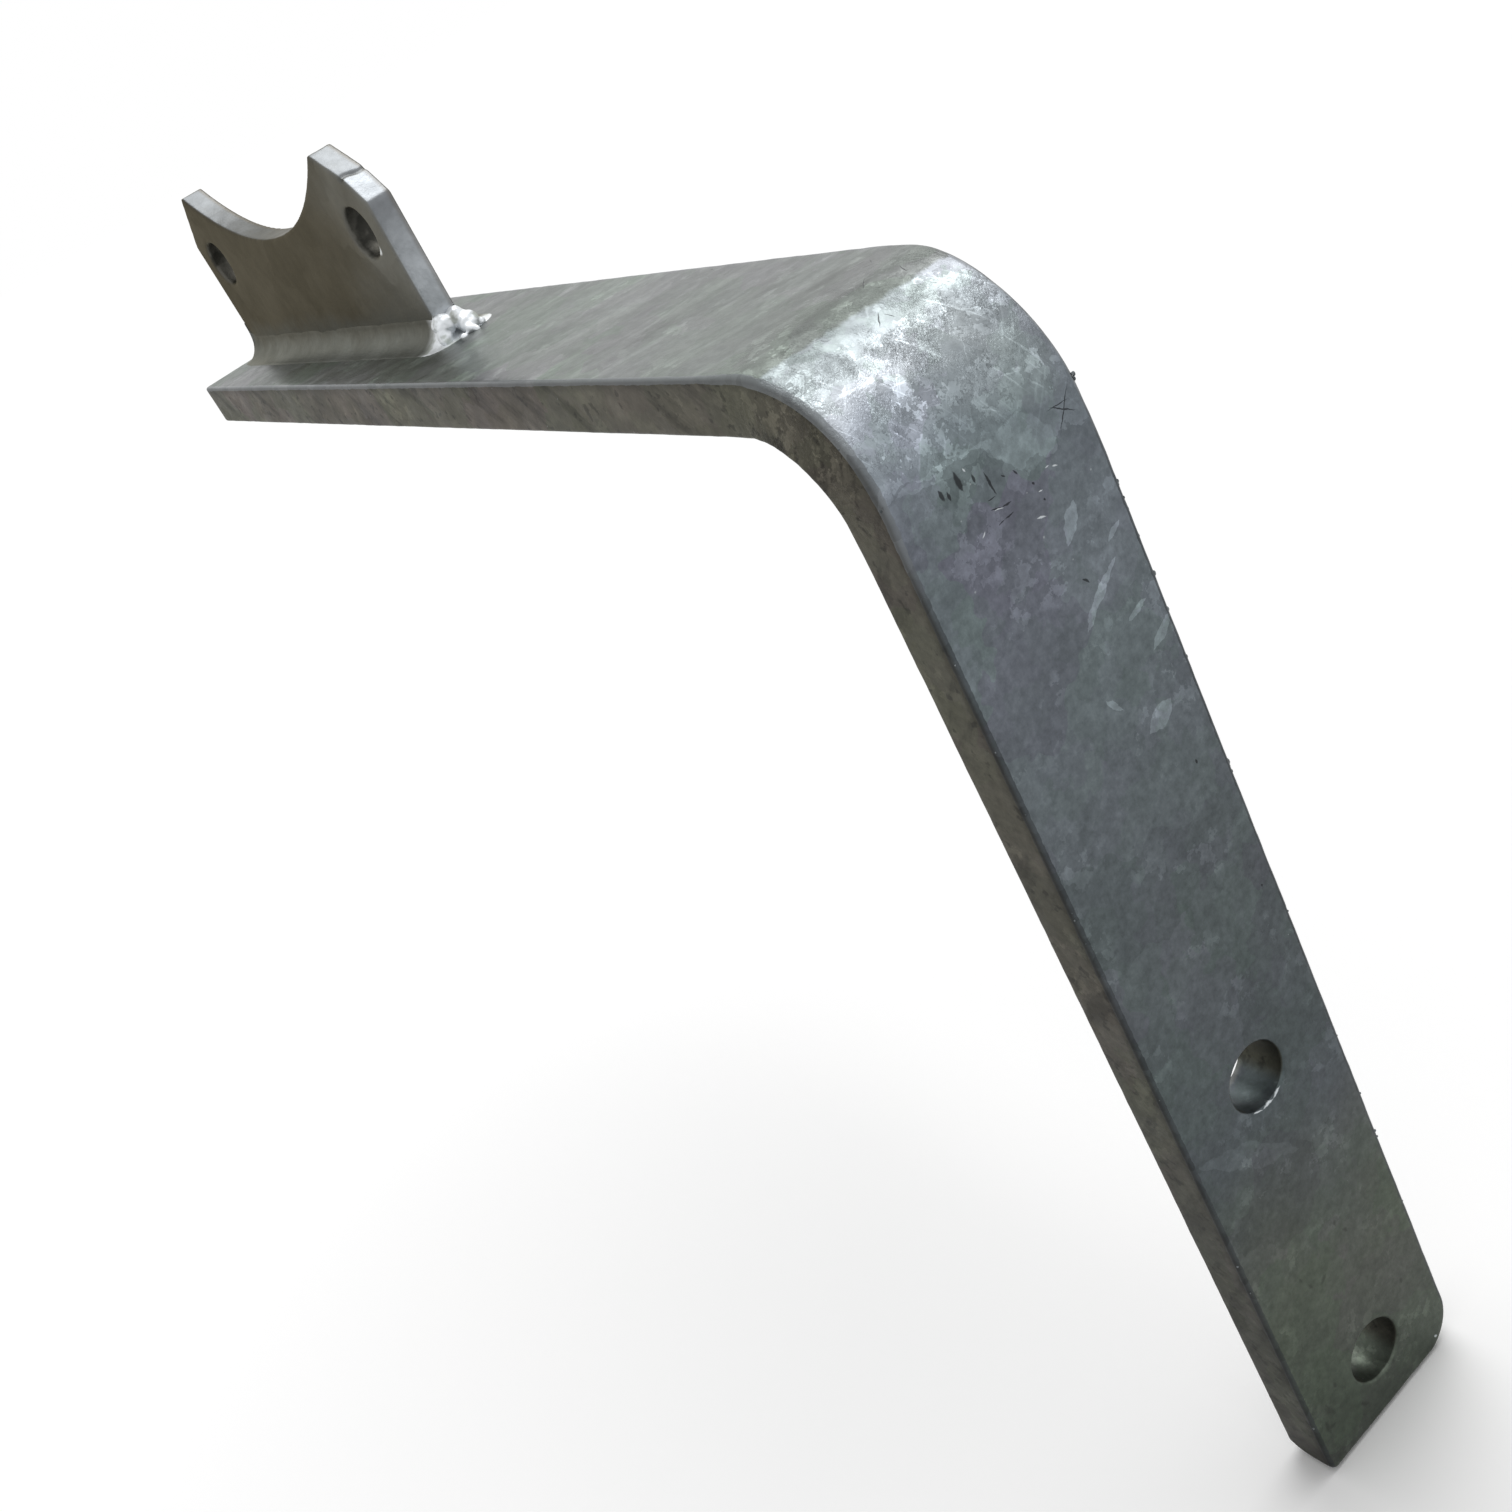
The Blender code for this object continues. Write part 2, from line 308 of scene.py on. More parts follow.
def stations():
    """Places along the bar: coarse on the straights, fine in the bend and at the ends."""
    run_in = ARM_FLAT - FINE_REACH
    run_out = ARM_FLAT + BEND_FLAT + FINE_REACH
    places = list(np.arange(COARSE_STEP, run_in, COARSE_STEP)) + list(np.arange(run_in, run_out, FINE_STEP))
    places += list(np.arange(run_out, BAR_FLAT - BACK_CORNER, COARSE_STEP))
    for step in range(END_STEPS + 1):
        rise = EDGE_RADIUS * (1 - math.cos(math.pi / 2 * step / END_STEPS))
        places += [rise, BAR_FLAT - rise]
    for radius in (FRONT_CORNER, BACK_CORNER):
        turns = [math.pi / 2 * step / CORNER_STEPS for step in range(CORNER_STEPS)]
        places += [BAR_FLAT - radius * (1 - math.sin(turn)) for turn in turns]
    ordered = sorted(places)
    kept = [ordered[0]]
    for place in ordered[1:]:
        if place - kept[-1] > SMALLEST_STEP:
            kept.append(place)
    return kept


# %% [markdown]
# ## Loft the bar
#
# A loft joins section to section with four-sided faces. The corners of each section are the same
# points in the same order, so the faces follow by counting.

# %% Loft the bar
def loft_bar():
    """The undrilled bar, bent."""
    rings = []
    for along in stations():
        strain = float(bend_strain(np.array(along)))
        end_distance = BAR_FLAT - along
        front = corner_half_width(end_distance, FRONT_CORNER)
        back = corner_half_width(end_distance, BACK_CORNER)
        section = section_points(front, back, strain, end_inset(min(along, end_distance)))
        ring = []
        for across, depth in section:
            share = depth / BAR_THICKNESS
            stretch = 1 + (SWELL * share - DRAW_IN * (1 - share)) * strain / (BAR_WIDTH / 2)
            ring.append((along - end_fall(along, depth), across * stretch, depth))
        rings.append(ring)
    count = len(rings[0])
    points = bend(np.array(rings).reshape(-1, 3))
    faces = ring_faces(len(rings), count) + end_faces(len(rings), count)
    return new_object("bar_blank", mesh_from("bar_blank", points, faces))


bar_blank = loft_bar()
report(bar_blank)

# %% [markdown]
# ## Drill the bolt holes
#
# A drill leaves a sharp rim, and the zinc rounds it. A cutter whose two ends flare like a trumpet
# cuts the hole and its rounded rims in one boolean. The rim on the outer face is the rounder one.

# %% Flared cutters
BOLT_HOLE_RADIUS = 0.0065
BOLT_HOLES = (-0.0375, 0.0375)
RIM_RADIUS = 0.0007
FAR_RIM_RADIUS = 0.0002
CUTTER_SIDES = 72
CUTTER_REACH = 0.002
RIM_STEPS = 6


def flared_profile(radius, rim, far_rim, thickness):
    """Distance along the hole and radius there, from outside one face to outside the other."""
    halves = []
    for size in (rim, far_rim):
        angles = np.linspace(0, math.pi / 2, RIM_STEPS)
        arc = [(size * (1 - math.cos(a)), size * (1 - math.sin(a))) for a in angles]
        halves.append([(-CUTTER_REACH, radius + size)] + [(depth, radius + rise) for depth, rise in arc])
    return halves[0] + [(thickness - depth, rise) for depth, rise in reversed(halves[1])]


def make_cutter(name, profile, place):
    """A turned cutter; place(depth, side, up) gives the real place of a point of it."""
    points = []
    for depth, radius in profile:
        for side in range(CUTTER_SIDES):
            angle = 2 * math.pi * side / CUTTER_SIDES
            points.append(place(depth, radius * math.cos(angle), radius * math.sin(angle)))
    faces = ring_faces(len(profile), CUTTER_SIDES) + end_faces(len(profile), CUTTER_SIDES)
    return new_object(name, mesh_from(name, points, faces))


def drill(item, cutters):
    """Cuts the holes and returns the plain mesh."""
    for cutter in cutters:
        boolean = item.modifiers.new(cutter.name, "BOOLEAN")
        boolean.operation = "DIFFERENCE"
        boolean.solver = "EXACT"
        boolean.object = cutter
    drilled = freeze(item, item.name)
    for cutter in cutters:
        bpy.data.objects.remove(cutter)
    return drilled


bolt_cutters = []
for index, height in enumerate(BOLT_HOLES):
    bolt_profile = flared_profile(BOLT_HOLE_RADIUS, RIM_RADIUS, FAR_RIM_RADIUS, BAR_THICKNESS)
    bolt_cutters.append(make_cutter("bolt_cutter_" + str(index), bolt_profile,
                                    lambda depth, side, up, height=height: (-depth, side, height + up)))
bar = drill(bar_blank, bolt_cutters)
bar.name = "galvanised_bar"
report(bar)

# %% [markdown]
# ## Let the zinc flow
#
# Molten zinc is never quite flat. Soft noise moves the surface by a few hundredths of a millimetre,
# a little more along the edges, and the bend gets fine crinkles where the coating was stretched.
# The distance to the nearest edge is kept for the material, which brightens and darkens there.
# The waves of the wall face are held back to the solid's box, so that nothing stands out beyond it.

# %% Shape the bar's surface
WAVE_HEIGHT = 0.00004
WAVE_SIZE = 0.013
EDGE_WAVE_HEIGHT = 0.00007
EDGE_WAVE_SIZE = 0.0028
CRINKLE_HEIGHT = 0.00005
CRINKLE_SIZE = 0.0026
EDGE_ZONE = 0.002
FARTHEST_EDGE = 0.02
INSIDE = 0.00001


def bar_edge_distance(flat):
    """How far each point of the bar's surface is from the nearest edge or hole rim."""
    along, across, depth = flat.T
    to_end = np.minimum(along, BAR_FLAT - along)
    to_side = BAR_WIDTH / 2 - np.abs(across)
    to_face = np.minimum(depth, BAR_THICKNESS - depth)
    distance = np.sort(np.stack([to_end, to_side, to_face]), axis=0)[1]
    for height in BOLT_HOLES:
        hole_along = ARM_FLAT + BEND_FLAT + BEND_CENTRE[1] - height
        from_wall = np.abs(np.hypot(along - hole_along, across) - BOLT_HOLE_RADIUS)
        distance = np.minimum(distance, np.maximum(from_wall, to_face))
    return np.clip(distance, 0, FARTHEST_EDGE)


def shape_bar(item):
    """Waves, rough edges and crinkles, and what the material needs to know of each point."""
    mesh = item.data
    points = positions(mesh)
    normals = point_normals(mesh)
    flat = unbend(points)
    distance = bar_edge_distance(flat)
    strain = bend_strain(flat[:, 0])
    near_edge = 1 - smooth_step(distance / EDGE_ZONE)
    outer = 1 - smooth_step(flat[:, 2] / EDGE_ZONE)
    crinkle = 1 - 2 * np.abs(noise_at(flat * np.array([1.0, 1.6, 1.0]), CRINKLE_SIZE, 4))
    move = WAVE_HEIGHT * noise_at(flat, WAVE_SIZE, 1)
    move += EDGE_WAVE_HEIGHT * near_edge * noise_at(flat, EDGE_WAVE_SIZE, 2)
    move += CRINKLE_HEIGHT * strain * outer * (1 - near_edge) * crinkle
    moved = points + normals * (move - WAVE_HEIGHT)[:, None]
    moved[:, 0] = np.minimum(moved[:, 0], -INSIDE)
    set_positions(mesh, moved)
    store(mesh, "flat_place", flat)
    store(mesh, "edge_distance", distance)
    store(mesh, "strain", strain)
    store(mesh, "side_face", smooth_step((np.abs(normals[:, 1]) - 0.55) / 0.35))
    mesh.shade_smooth()


shape_bar(bar)

# %% [markdown]
# ## The saddle plate
#
# The plate's outline is a polygon with one arc, the notch that holds a round pipe. It looks cut by
# hand and ground: its corners are soft, and the long cut across the inner horn has a nick where two
# strokes met. The solid is rebuilt from small even cells, which rounds every edge as zinc does.

# %% Saddle plate
PLATE_MIDDLE = (plate_low.x + plate_high.x) / 2
PLATE_HALF = (plate_high.x - plate_low.x) / 2
PLATE_HEIGHT = 0.043
PLATE_TOP = ARM_TOP + PLATE_HEIGHT
PLATE_THICKNESS = 0.006
NOTCH_RADIUS = 0.080
NOTCH_OFFSET = 0.0028
NOTCH_FLOOR_HEIGHT = 0.0285
NOTCH_MIDDLE = PLATE_MIDDLE - NOTCH_OFFSET
NOTCH_CENTRE_HEIGHT = ARM_TOP + NOTCH_FLOOR_HEIGHT + NOTCH_RADIUS
HORN_TIP = 0.001
HORN_CUT_HEIGHT = 0.012
KNEE_HEIGHT = PLATE_TOP - HORN_CUT_HEIGHT
KINK = 0.006
STRAP_HOLE_RADIUS = 0.0055
STRAP_HOLE_ABOVE_ARM = 0.0255
STRAP_HOLE_END_DISTANCE = 0.011
STRAP_HOLE_HEIGHT = ARM_TOP + STRAP_HOLE_ABOVE_ARM
STRAP_HOLES = (PLATE_MIDDLE - PLATE_HALF + STRAP_HOLE_END_DISTANCE,
               PLATE_MIDDLE + PLATE_HALF - STRAP_HOLE_END_DISTANCE)
PLATE_CELL = 0.00045
NOTCH_STEPS = 60


def plate_outline():
    """Corners of the plate, with the notch as an arc."""
    reach = math.sqrt(NOTCH_RADIUS ** 2 - (NOTCH_CENTRE_HEIGHT - PLATE_TOP) ** 2)
    swing = math.asin(reach / NOTCH_RADIUS)
    low_x, high_x = PLATE_MIDDLE - PLATE_HALF, PLATE_MIDDLE + PLATE_HALF
    outline = [(low_x, ARM_TOP), (high_x, ARM_TOP), (high_x, KNEE_HEIGHT),
               (high_x - KINK, KNEE_HEIGHT + KINK), (NOTCH_MIDDLE + reach + HORN_TIP, PLATE_TOP)]
    for step in range(NOTCH_STEPS + 1):
        angle = swing * (1 - 2 * step / NOTCH_STEPS)
        outline.append((NOTCH_MIDDLE + NOTCH_RADIUS * math.sin(angle),
                        NOTCH_CENTRE_HEIGHT - NOTCH_RADIUS * math.cos(angle)))
    outline += [(NOTCH_MIDDLE - reach - HORN_TIP, PLATE_TOP), (low_x, KNEE_HEIGHT)]
    return outline


def extrude_outline(name, outline, low, high):
    """A flat plate of the outline, from low to high across."""
    count = len(outline)
    points = [(x, low, z) for x, z in outline] + [(x, high, z) for x, z in outline]
    faces = [tuple(range(count)), tuple(range(count, 2 * count))]
    faces += [(i, (i + 1) % count, count + (i + 1) % count, count + i) for i in range(count)]
    return new_object(name, mesh_from(name, points, faces))


def rebuild(item, cell, smoothing):
    """Rebuilds the item from even cells and softens it."""
    remesh = item.modifiers.new("cells", "REMESH")
    remesh.mode = "VOXEL"
    remesh.voxel_size = cell
    soften = item.modifiers.new("soften", "SMOOTH")
    soften.factor = 0.5
    soften.iterations = smoothing
    return freeze(item, item.name)


plate_blank = extrude_outline("plate_blank", plate_outline(), -PLATE_THICKNESS / 2, PLATE_THICKNESS / 2)
strap_profile = flared_profile(STRAP_HOLE_RADIUS, RIM_RADIUS, RIM_RADIUS, PLATE_THICKNESS)
strap_cutters = []
for index, middle in enumerate(STRAP_HOLES):
    strap_cutters.append(make_cutter(
        "strap_cutter_" + str(index), strap_profile, lambda depth, side, up, middle=middle:
        (middle + side, depth - PLATE_THICKNESS / 2, STRAP_HOLE_HEIGHT + up)))
plate = rebuild(drill(plate_blank, strap_cutters), PLATE_CELL, 3)
plate.name = "galvanised_saddle_plate"
report(plate)

# %% [markdown]
# The nick is a groove across the thickness at the kink. Each point is pressed in by an amount that
# falls off with its distance from the groove's line. The cut faces aren't all equally clean: how
# clean each one is goes into an attribute, and so does where the walls of the strap holes are.

# %% Waves, soft edges and the nick
NICK_DEPTH = 0.0005
NICK_WIDTH = 0.0007
NICK_STAIN_WIDTH = 1.3 * NICK_WIDTH
NICK_SWAY = 0.0006
NICK_SWAY_RATE = 900
NICK_UNEVENNESS = 0.35
SIDE_CLEAN = (0.52, 1.08)
FACET_CLEAN = (0.84, 0.56)
NOTCH_CLEAN = (0.36, 0.42)
PLATE_WAVE_HEIGHT = 0.00004
CUT_WAVE_HEIGHT = 0.00008
ROUND_EDGE_WAVE_HEIGHT = 0.00006


def plate_cleanness(points):
    """How clean the cut faces are: the end by its height, each facet, and the notch."""
    x, y, z = points.T
    notch_distance = np.hypot(x - NOTCH_MIDDLE, z - NOTCH_CENTRE_HEIGHT) - NOTCH_RADIUS
    notch = 1 - smooth_step((notch_distance - 0.0003) / 0.0008)
    low = smooth_step((KNEE_HEIGHT - z) / 0.018)
    above_kink = smooth_step((z - KNEE_HEIGHT - KINK) / 0.0006)
    above_knee = smooth_step((z - KNEE_HEIGHT) / 0.0008)
    cleanness = SIDE_CLEAN[0] + (SIDE_CLEAN[1] - SIDE_CLEAN[0]) * low
    cleanness += (FACET_CLEAN[0] - cleanness) * above_knee
    cleanness += (FACET_CLEAN[1] - cleanness) * above_kink
    notch_clean = NOTCH_CLEAN[0] + (NOTCH_CLEAN[1] - NOTCH_CLEAN[0]) * (z > PLATE_TOP - 0.006)
    return cleanness + (notch_clean - cleanness) * notch


def shape_plate(item):
    """Waves all over, rough cut faces, and the nick in the inner horn's cut."""
    mesh = item.data
    points = positions(mesh)
    normals = point_normals(mesh)
    x, y, z = points.T
    facing = np.abs(normals[:, 1])
    cut_face = 1 - smooth_step((facing - 0.15) / 0.5)
    edge = 1 - np.abs(2 * smooth_step((facing - 0.05) / 0.9) - 1)
    to_holes = [np.hypot(x - middle, z - STRAP_HOLE_HEIGHT) for middle in STRAP_HOLES]
    in_hole = 1 - smooth_step((np.minimum(*to_holes) - STRAP_HOLE_RADIUS - 0.0002) / 0.0004)
    cut_face = cut_face * (1 - in_hole)
    kink_x = PLATE_MIDDLE + PLATE_HALF - KINK + NICK_SWAY * np.sin(y * NICK_SWAY_RATE)
    away = np.hypot(x - kink_x, z - KNEE_HEIGHT - KINK)
    nick = NICK_DEPTH * np.exp(-(away / NICK_WIDTH) ** 2)
    nick *= 1 + NICK_UNEVENNESS * noise_at(points, 0.004, 9)
    move = PLATE_WAVE_HEIGHT * noise_at(points, 0.012, 5)
    move += CUT_WAVE_HEIGHT * cut_face * noise_at(points, 0.0032, 6)
    move += ROUND_EDGE_WAVE_HEIGHT * edge * noise_at(points, 0.0022, 7)
    moved = points + normals * (move - nick)[:, None]
    moved[:, 2] = np.minimum(moved[:, 2], PLATE_TOP - INSIDE)
    set_positions(mesh, moved)
    store(mesh, "cut_face", cut_face)
    store(mesh, "cleanness", plate_cleanness(points))
    store(mesh, "in_hole", in_hole)
    store(mesh, "edge_share", np.clip(edge, 0, 1))
    store(mesh, "nick", np.exp(-(away / NICK_STAIN_WIDTH) ** 2))
    mesh.shade_smooth()


shape_plate(plate)

# %% [markdown]
# ## The weld
#
# A fillet weld runs all round the plate's foot. Zinc has filled its sides to a smooth hollow curve,
# which meets the plate and the arm without a line. A section swept round the foot makes it, and its
# sharp corners are tucked in under both surfaces, so that only the hollow shows. The end that faces
# the bend is the only place where the weld stayed rough, with a few large bright lumps.

# %% [markdown]
# Each leg below is the fillet's reach along the arm and its height up the plate. The legs of the two
# ends fade into the legs of the sides over a few millimetres.

# %% Weld path
SIDE_LEG = (0.0058, 0.0052)
FREE_END_LEG = (0.0043, 0.0085)
BEND_END_LEG = (0.0052, 0.0046)
FREE_END_FADE = 0.005
BEND_END_FADE = 0.006
WELD_SINK = 0.0009
WELD_TUCK = 0.0007
WELD_TURN_STEPS = 10
WELD_SIDE_STEPS = 60
FILLET_STEPS = 12


def weld_path():
    """Stations round the plate's foot: x, y, outward angle, reach and height."""
    path = []
    half_y = PLATE_THICKNESS / 2
    for side in (-1, 1):
        start_angle = -math.pi / 2 * side
        for step in range(WELD_SIDE_STEPS):
            share = step / WELD_SIDE_STEPS
            x = PLATE_MIDDLE - side * PLATE_HALF * (1 - 2 * share)
            path.append((x, -half_y * side, start_angle))
        for step in range(WELD_TURN_STEPS):
            share = step / WELD_TURN_STEPS
            corner_y = -half_y * side if share < 0.5 else half_y * side
            path.append((PLATE_MIDDLE + side * PLATE_HALF, corner_y, start_angle + math.pi * share))
    return path


def weld_size(x, angle):
    """Reach along the arm and height up the plate of the fillet there."""
    from_bend_end = PLATE_MIDDLE + PLATE_HALF - x
    from_free_end = x - PLATE_MIDDLE + PLATE_HALF
    bend_end = float(smooth_step(np.array(1 - from_bend_end / BEND_END_FADE)))
    free_end = float(smooth_step(np.array(1 - from_free_end / FREE_END_FADE)))
    outwards = abs(math.cos(angle))
    bend_share = bend_end * (0.25 + 0.75 * outwards)
    free_share = free_end * (0.35 + 0.65 * outwards)
    sizes = [side + (bent - side) * bend_share + (free - side) * free_share
             for side, bent, free in zip(SIDE_LEG, BEND_END_LEG, FREE_END_LEG)]
    return sizes[0], sizes[1]


def fillet_mesh():
    """The hollow fillet itself, sunk a little into the plate and the arm so that it looks fused."""
    points = []
    path = weld_path()
    for x, y, angle in path:
        reach, height = weld_size(x, angle)
        section = [(-WELD_SINK, -WELD_SINK), (-WELD_SINK, height + WELD_TUCK),
                   (-WELD_TUCK / 3, height + WELD_TUCK)]
        for step in range(FILLET_STEPS + 1):
            turn = math.pi / 2 * step / FILLET_STEPS
            section.append((reach * (1 - math.cos(turn)), height * (1 - math.sin(turn))))
        section += [(reach + WELD_TUCK, -WELD_TUCK / 3), (reach + WELD_TUCK, -WELD_SINK)]
        for away, up in section:
            points.append((x + math.cos(angle) * away, y + math.sin(angle) * away, ARM_TOP + up))
    faces = ring_faces(len(path), len(points) // len(path), closed=True)
    return new_object("weld_fillet", mesh_from("weld_fillet", points, faces))


fillet = fillet_mesh()
report(fillet)

# %% [markdown]
# ## Helpers for node trees
#
# A modifier of this lesson and every material are trees of nodes. These helpers add one node each
# and return its output, so that a tree reads like a sum. A number sets a socket, and another node's
# output is linked to it. A group is a tree of its own, with named inputs and outputs.

# %% Node helpers
def feed(tree, socket, value):
    """Sets a socket to a number, or links an output to it."""
    if isinstance(value, bpy.types.NodeSocket):
        tree.links.new(value, socket)
    else:
        socket.default_value = value


def add(tree, kind, inputs, output=0, **settings):
    """Adds a node, feeds its inputs by name or number, and returns one output."""
    made = tree.nodes.new(kind)
    for name, value in settings.items():
        setattr(made, name, value)
    for key, value in inputs.items():
        feed(tree, made.inputs[key], value)
    return made.outputs[output]


def calculate(tree, operation, first, second=0.0, clamp=False):
    """One sum."""
    return add(tree, "ShaderNodeMath", {0: first, 1: second}, operation=operation, use_clamp=clamp)


def multiply(tree, first, *others):
    """The product of several values."""
    for other in others:
        first = calculate(tree, "MULTIPLY", first, other)
    return first


def new_group(name, inputs, outputs, kind="ShaderNodeTree"):
    """A node group with named inputs and outputs, each given by its name and kind of socket."""
    tree = bpy.data.node_groups.new(name, kind)
    for label, socket_kind, value in inputs:
        socket = tree.interface.new_socket(label, in_out="INPUT", socket_type="NodeSocket" + socket_kind)
        if value is not None:
            socket.default_value = value
    for label, socket_kind in outputs:
        tree.interface.new_socket(label, in_out="OUTPUT", socket_type="NodeSocket" + socket_kind)
    return tree, tree.nodes.new("NodeGroupInput").outputs, tree.nodes.new("NodeGroupOutput").inputs


# %% [markdown]
# ### Lumps by Geometry Nodes
#
# One tree makes the lumps of weld metal here and the zinc pips further on. It sets a ball on each
# point, and gives it a random size and a random slimness between named inputs. Each point's own
# attributes say how large its lump is and which way is up. The tree ends in real geometry with its
# material set, and `freeze` turns that into a plain mesh.

# %% Geometry Nodes tree for lumps
LUMP_INPUTS = (("Geometry", "Geometry", None), ("Smallest", "Float", 0.5), ("Largest", "Float", 1.0),
               ("Slimmest", "Float", 0.7), ("Flatness", "Float", 0.6), ("Seed", "Int", 1),
               ("Detail", "Int", 2), ("Material", "Material", None))


def random_value(tree, lowest, highest, seed):
    """A random number for each point."""
    return add(tree, "FunctionNodeRandomValue", {2: lowest, 3: highest, "Seed": seed}, output=1)


def lump_tree(name):
    """Sets balls on points: inputs for their size, slimness, flatness, detail and seed."""
    tree, given, result = new_group(name, LUMP_INPUTS, (("Geometry", "Geometry"),), "GeometryNodeTree")
    points = add(tree, "GeometryNodeMeshToPoints", {"Mesh": given["Geometry"]})
    ball = add(tree, "GeometryNodeMeshIcoSphere", {"Radius": 1.0, "Subdivisions": given["Detail"]})
    size = multiply(tree, random_value(tree, given["Smallest"], given["Largest"], given["Seed"]),
                    add(tree, "GeometryNodeInputNamedAttribute", {"Name": "lump_size"}))
    slimness = random_value(tree, given["Slimmest"], 1.0, given["Seed"])
    shape = add(tree, "ShaderNodeCombineXYZ", {"X": size, "Y": multiply(tree, size, slimness),
                                               "Z": multiply(tree, size, given["Flatness"])})
    up = add(tree, "GeometryNodeInputNamedAttribute", {"Name": "lump_up"}, data_type="FLOAT_VECTOR")
    turn = add(tree, "FunctionNodeAlignRotationToVector", {"Vector": up}, axis="Z")
    placed = add(tree, "GeometryNodeInstanceOnPoints", {"Points": points, "Instance": ball,
                                                        "Scale": shape, "Rotation": turn})
    real = add(tree, "GeometryNodeRealizeInstances", {0: placed})
    painted = add(tree, "GeometryNodeSetMaterial", {"Geometry": real, "Material": given["Material"]})
    feed(tree, result[0], painted)
    return tree


def run_tree(name, points, sizes, ups, tree, values):
    """Runs the tree on a cloud of points and returns the plain mesh that it makes."""
    mesh = bpy.data.meshes.new(name)
    mesh.from_pydata([tuple(point) for point in points], [], [])
    store(mesh, "lump_size", np.array(sizes, float))
    store(mesh, "lump_up", np.array(ups, float))
    item = new_object(name, mesh)
    modifier = item.modifiers.new("lumps", "NODES")
    modifier.node_group = tree
    for socket in tree.interface.items_tree:
        if socket.in_out == "INPUT" and socket.name in values:
            modifier[socket.identifier] = values[socket.name]
    return freeze(item, name)


lumps = lump_tree("lumps on points")


# %% [markdown]
# The lumps at the bend end are measured: each one's distance out from the plate's end, its place
# across, its height and its radius. The rebuild from small cells melts them together.

# %% Weld lumps
DEPOSIT = ((0.0012, -0.0020, 0.0034, 0.0024), (0.0016, 0.0012, 0.0036, 0.0027),
           (0.0034, 0.0022, 0.0018, 0.0024), (0.0022, -0.0034, 0.0012, 0.0020),
           (0.0052, 0.0012, 0.0008, 0.0015), (0.0042, 0.0044, 0.0004, 0.0012),
           (0.0066, 0.0020, 0.0000, 0.0010), (0.0058, -0.0010, 0.0000, 0.0009))
LUMP_UP = (0.7, 0.1, 1.0)
WELD_CELL = 0.00025

weld_places = [(PLATE_MIDDLE + PLATE_HALF + out, across, ARM_TOP + up) for out, across, up, size in DEPOSIT]
weld_sizes = [spot[3] for spot in DEPOSIT]
weld_lumps = run_tree("weld_lumps", weld_places, weld_sizes, [LUMP_UP] * len(DEPOSIT), lumps,
                      {"Smallest": 0.95, "Largest": 1.1, "Slimmest": 0.75, "Flatness": 0.8,
                       "Seed": 12, "Detail": 3})
weld_lumps = rebuild(weld_lumps, WELD_CELL, 6)
report(weld_lumps)

# %% [markdown]
# Noise makes the melted lumps uneven. Then they are joined with the fillet, because the bracket's
# weld is one piece, and the whole weld gets fine waves.

# %% Shape and join the weld
LUMP_WAVES = ((0.0004, 0.0021, 22), (0.00012, 0.0009, 23))
WELD_WAVES = ((0.00006, 0.006, 21), (0.00003, 0.0025, 24))
ROUGH_REACH = 0.0035


def waves(points, rows):
    """The sum of several rows of waves, each with its height, its size and its seed."""
    return sum(height * noise_at(points, size, seed) for height, size, seed in rows)


def shape_lumps(item):
    """Makes the melted lumps uneven."""
    points = positions(item.data)
    move = waves(points, LUMP_WAVES)
    set_positions(item.data, points + point_normals(item.data) * move[:, None])


shape_lumps(weld_lumps)


def join(items, name):
    """One object that holds the meshes of all the items."""
    builder = bmesh.new()
    for item in items:
        builder.from_mesh(item.data)
        bpy.data.objects.remove(item)
    mesh = bpy.data.meshes.new(name)
    builder.to_mesh(mesh)
    builder.free()
    return new_object(name, mesh)


weld = join([fillet, weld_lumps], "galvanised_weld")


def shape_weld(item):
    """Fine waves, how near each point is to the rough end, and how far down the hollow it lies."""
    mesh = item.data
    points = positions(mesh)
    normals = point_normals(mesh)
    rough_end = smooth_step((points[:, 0] - PLATE_MIDDLE - PLATE_HALF + ROUGH_REACH) / ROUGH_REACH)
    height = points[:, 2] - ARM_TOP
    exposed = height > 0
    move = waves(points, WELD_WAVES)
    set_positions(mesh, points + normals * (move * exposed)[:, None])
    store(mesh, "rough_end", rough_end)
    store(mesh, "foot_height", height)
    mesh.shade_smooth()


shape_weld(weld)
report(weld)

# %% [markdown]
# ## Zinc pips
#
# Zinc freezes in small drops along the back edge of the leg, as it drips off there when the bracket is
# lifted out. The same tree makes them: small balls of uneven shape, set into the rounded edge below
# the outer face, on points with a fixed seed. The large ones are measured, as along, across and
# radius. The rest lie in three rows, each with its start and end along the bar, its number, the
# edge it follows, its scatter, and its smallest and largest radius.

# %% Pips along the edges
PIP_SEED = 5
MEASURED_PIPS = ((0.3135, 0.0188, 0.0010), (0.3160, 0.0196, 0.0007), (0.3110, 0.0191, 0.0006),
                 (0.3208, 0.0196, 0.0006), (0.3250, 0.0194, 0.0009), (0.3278, 0.0197, 0.0006),
                 (0.3650, 0.0194, 0.0009), (0.3668, 0.0197, 0.0005), (0.3812, 0.0193, 0.0015),
                 (0.3585, 0.0195, 0.0006), (0.4960, -0.0196, 0.0005))
PIP_ROWS = ((0.290, 0.345, 22, 0.0197, 0.0004, 0.00025, 0.0006),
            (0.345, 0.480, 14, 0.0198, 0.0003, 0.0002, 0.0004),
            (0.280, 0.470, 12, -0.0198, 0.0002, 0.00015, 0.0003))
PIP_SUNK = 0.62
PIP_EXTRA_DEPTH = 0.00012


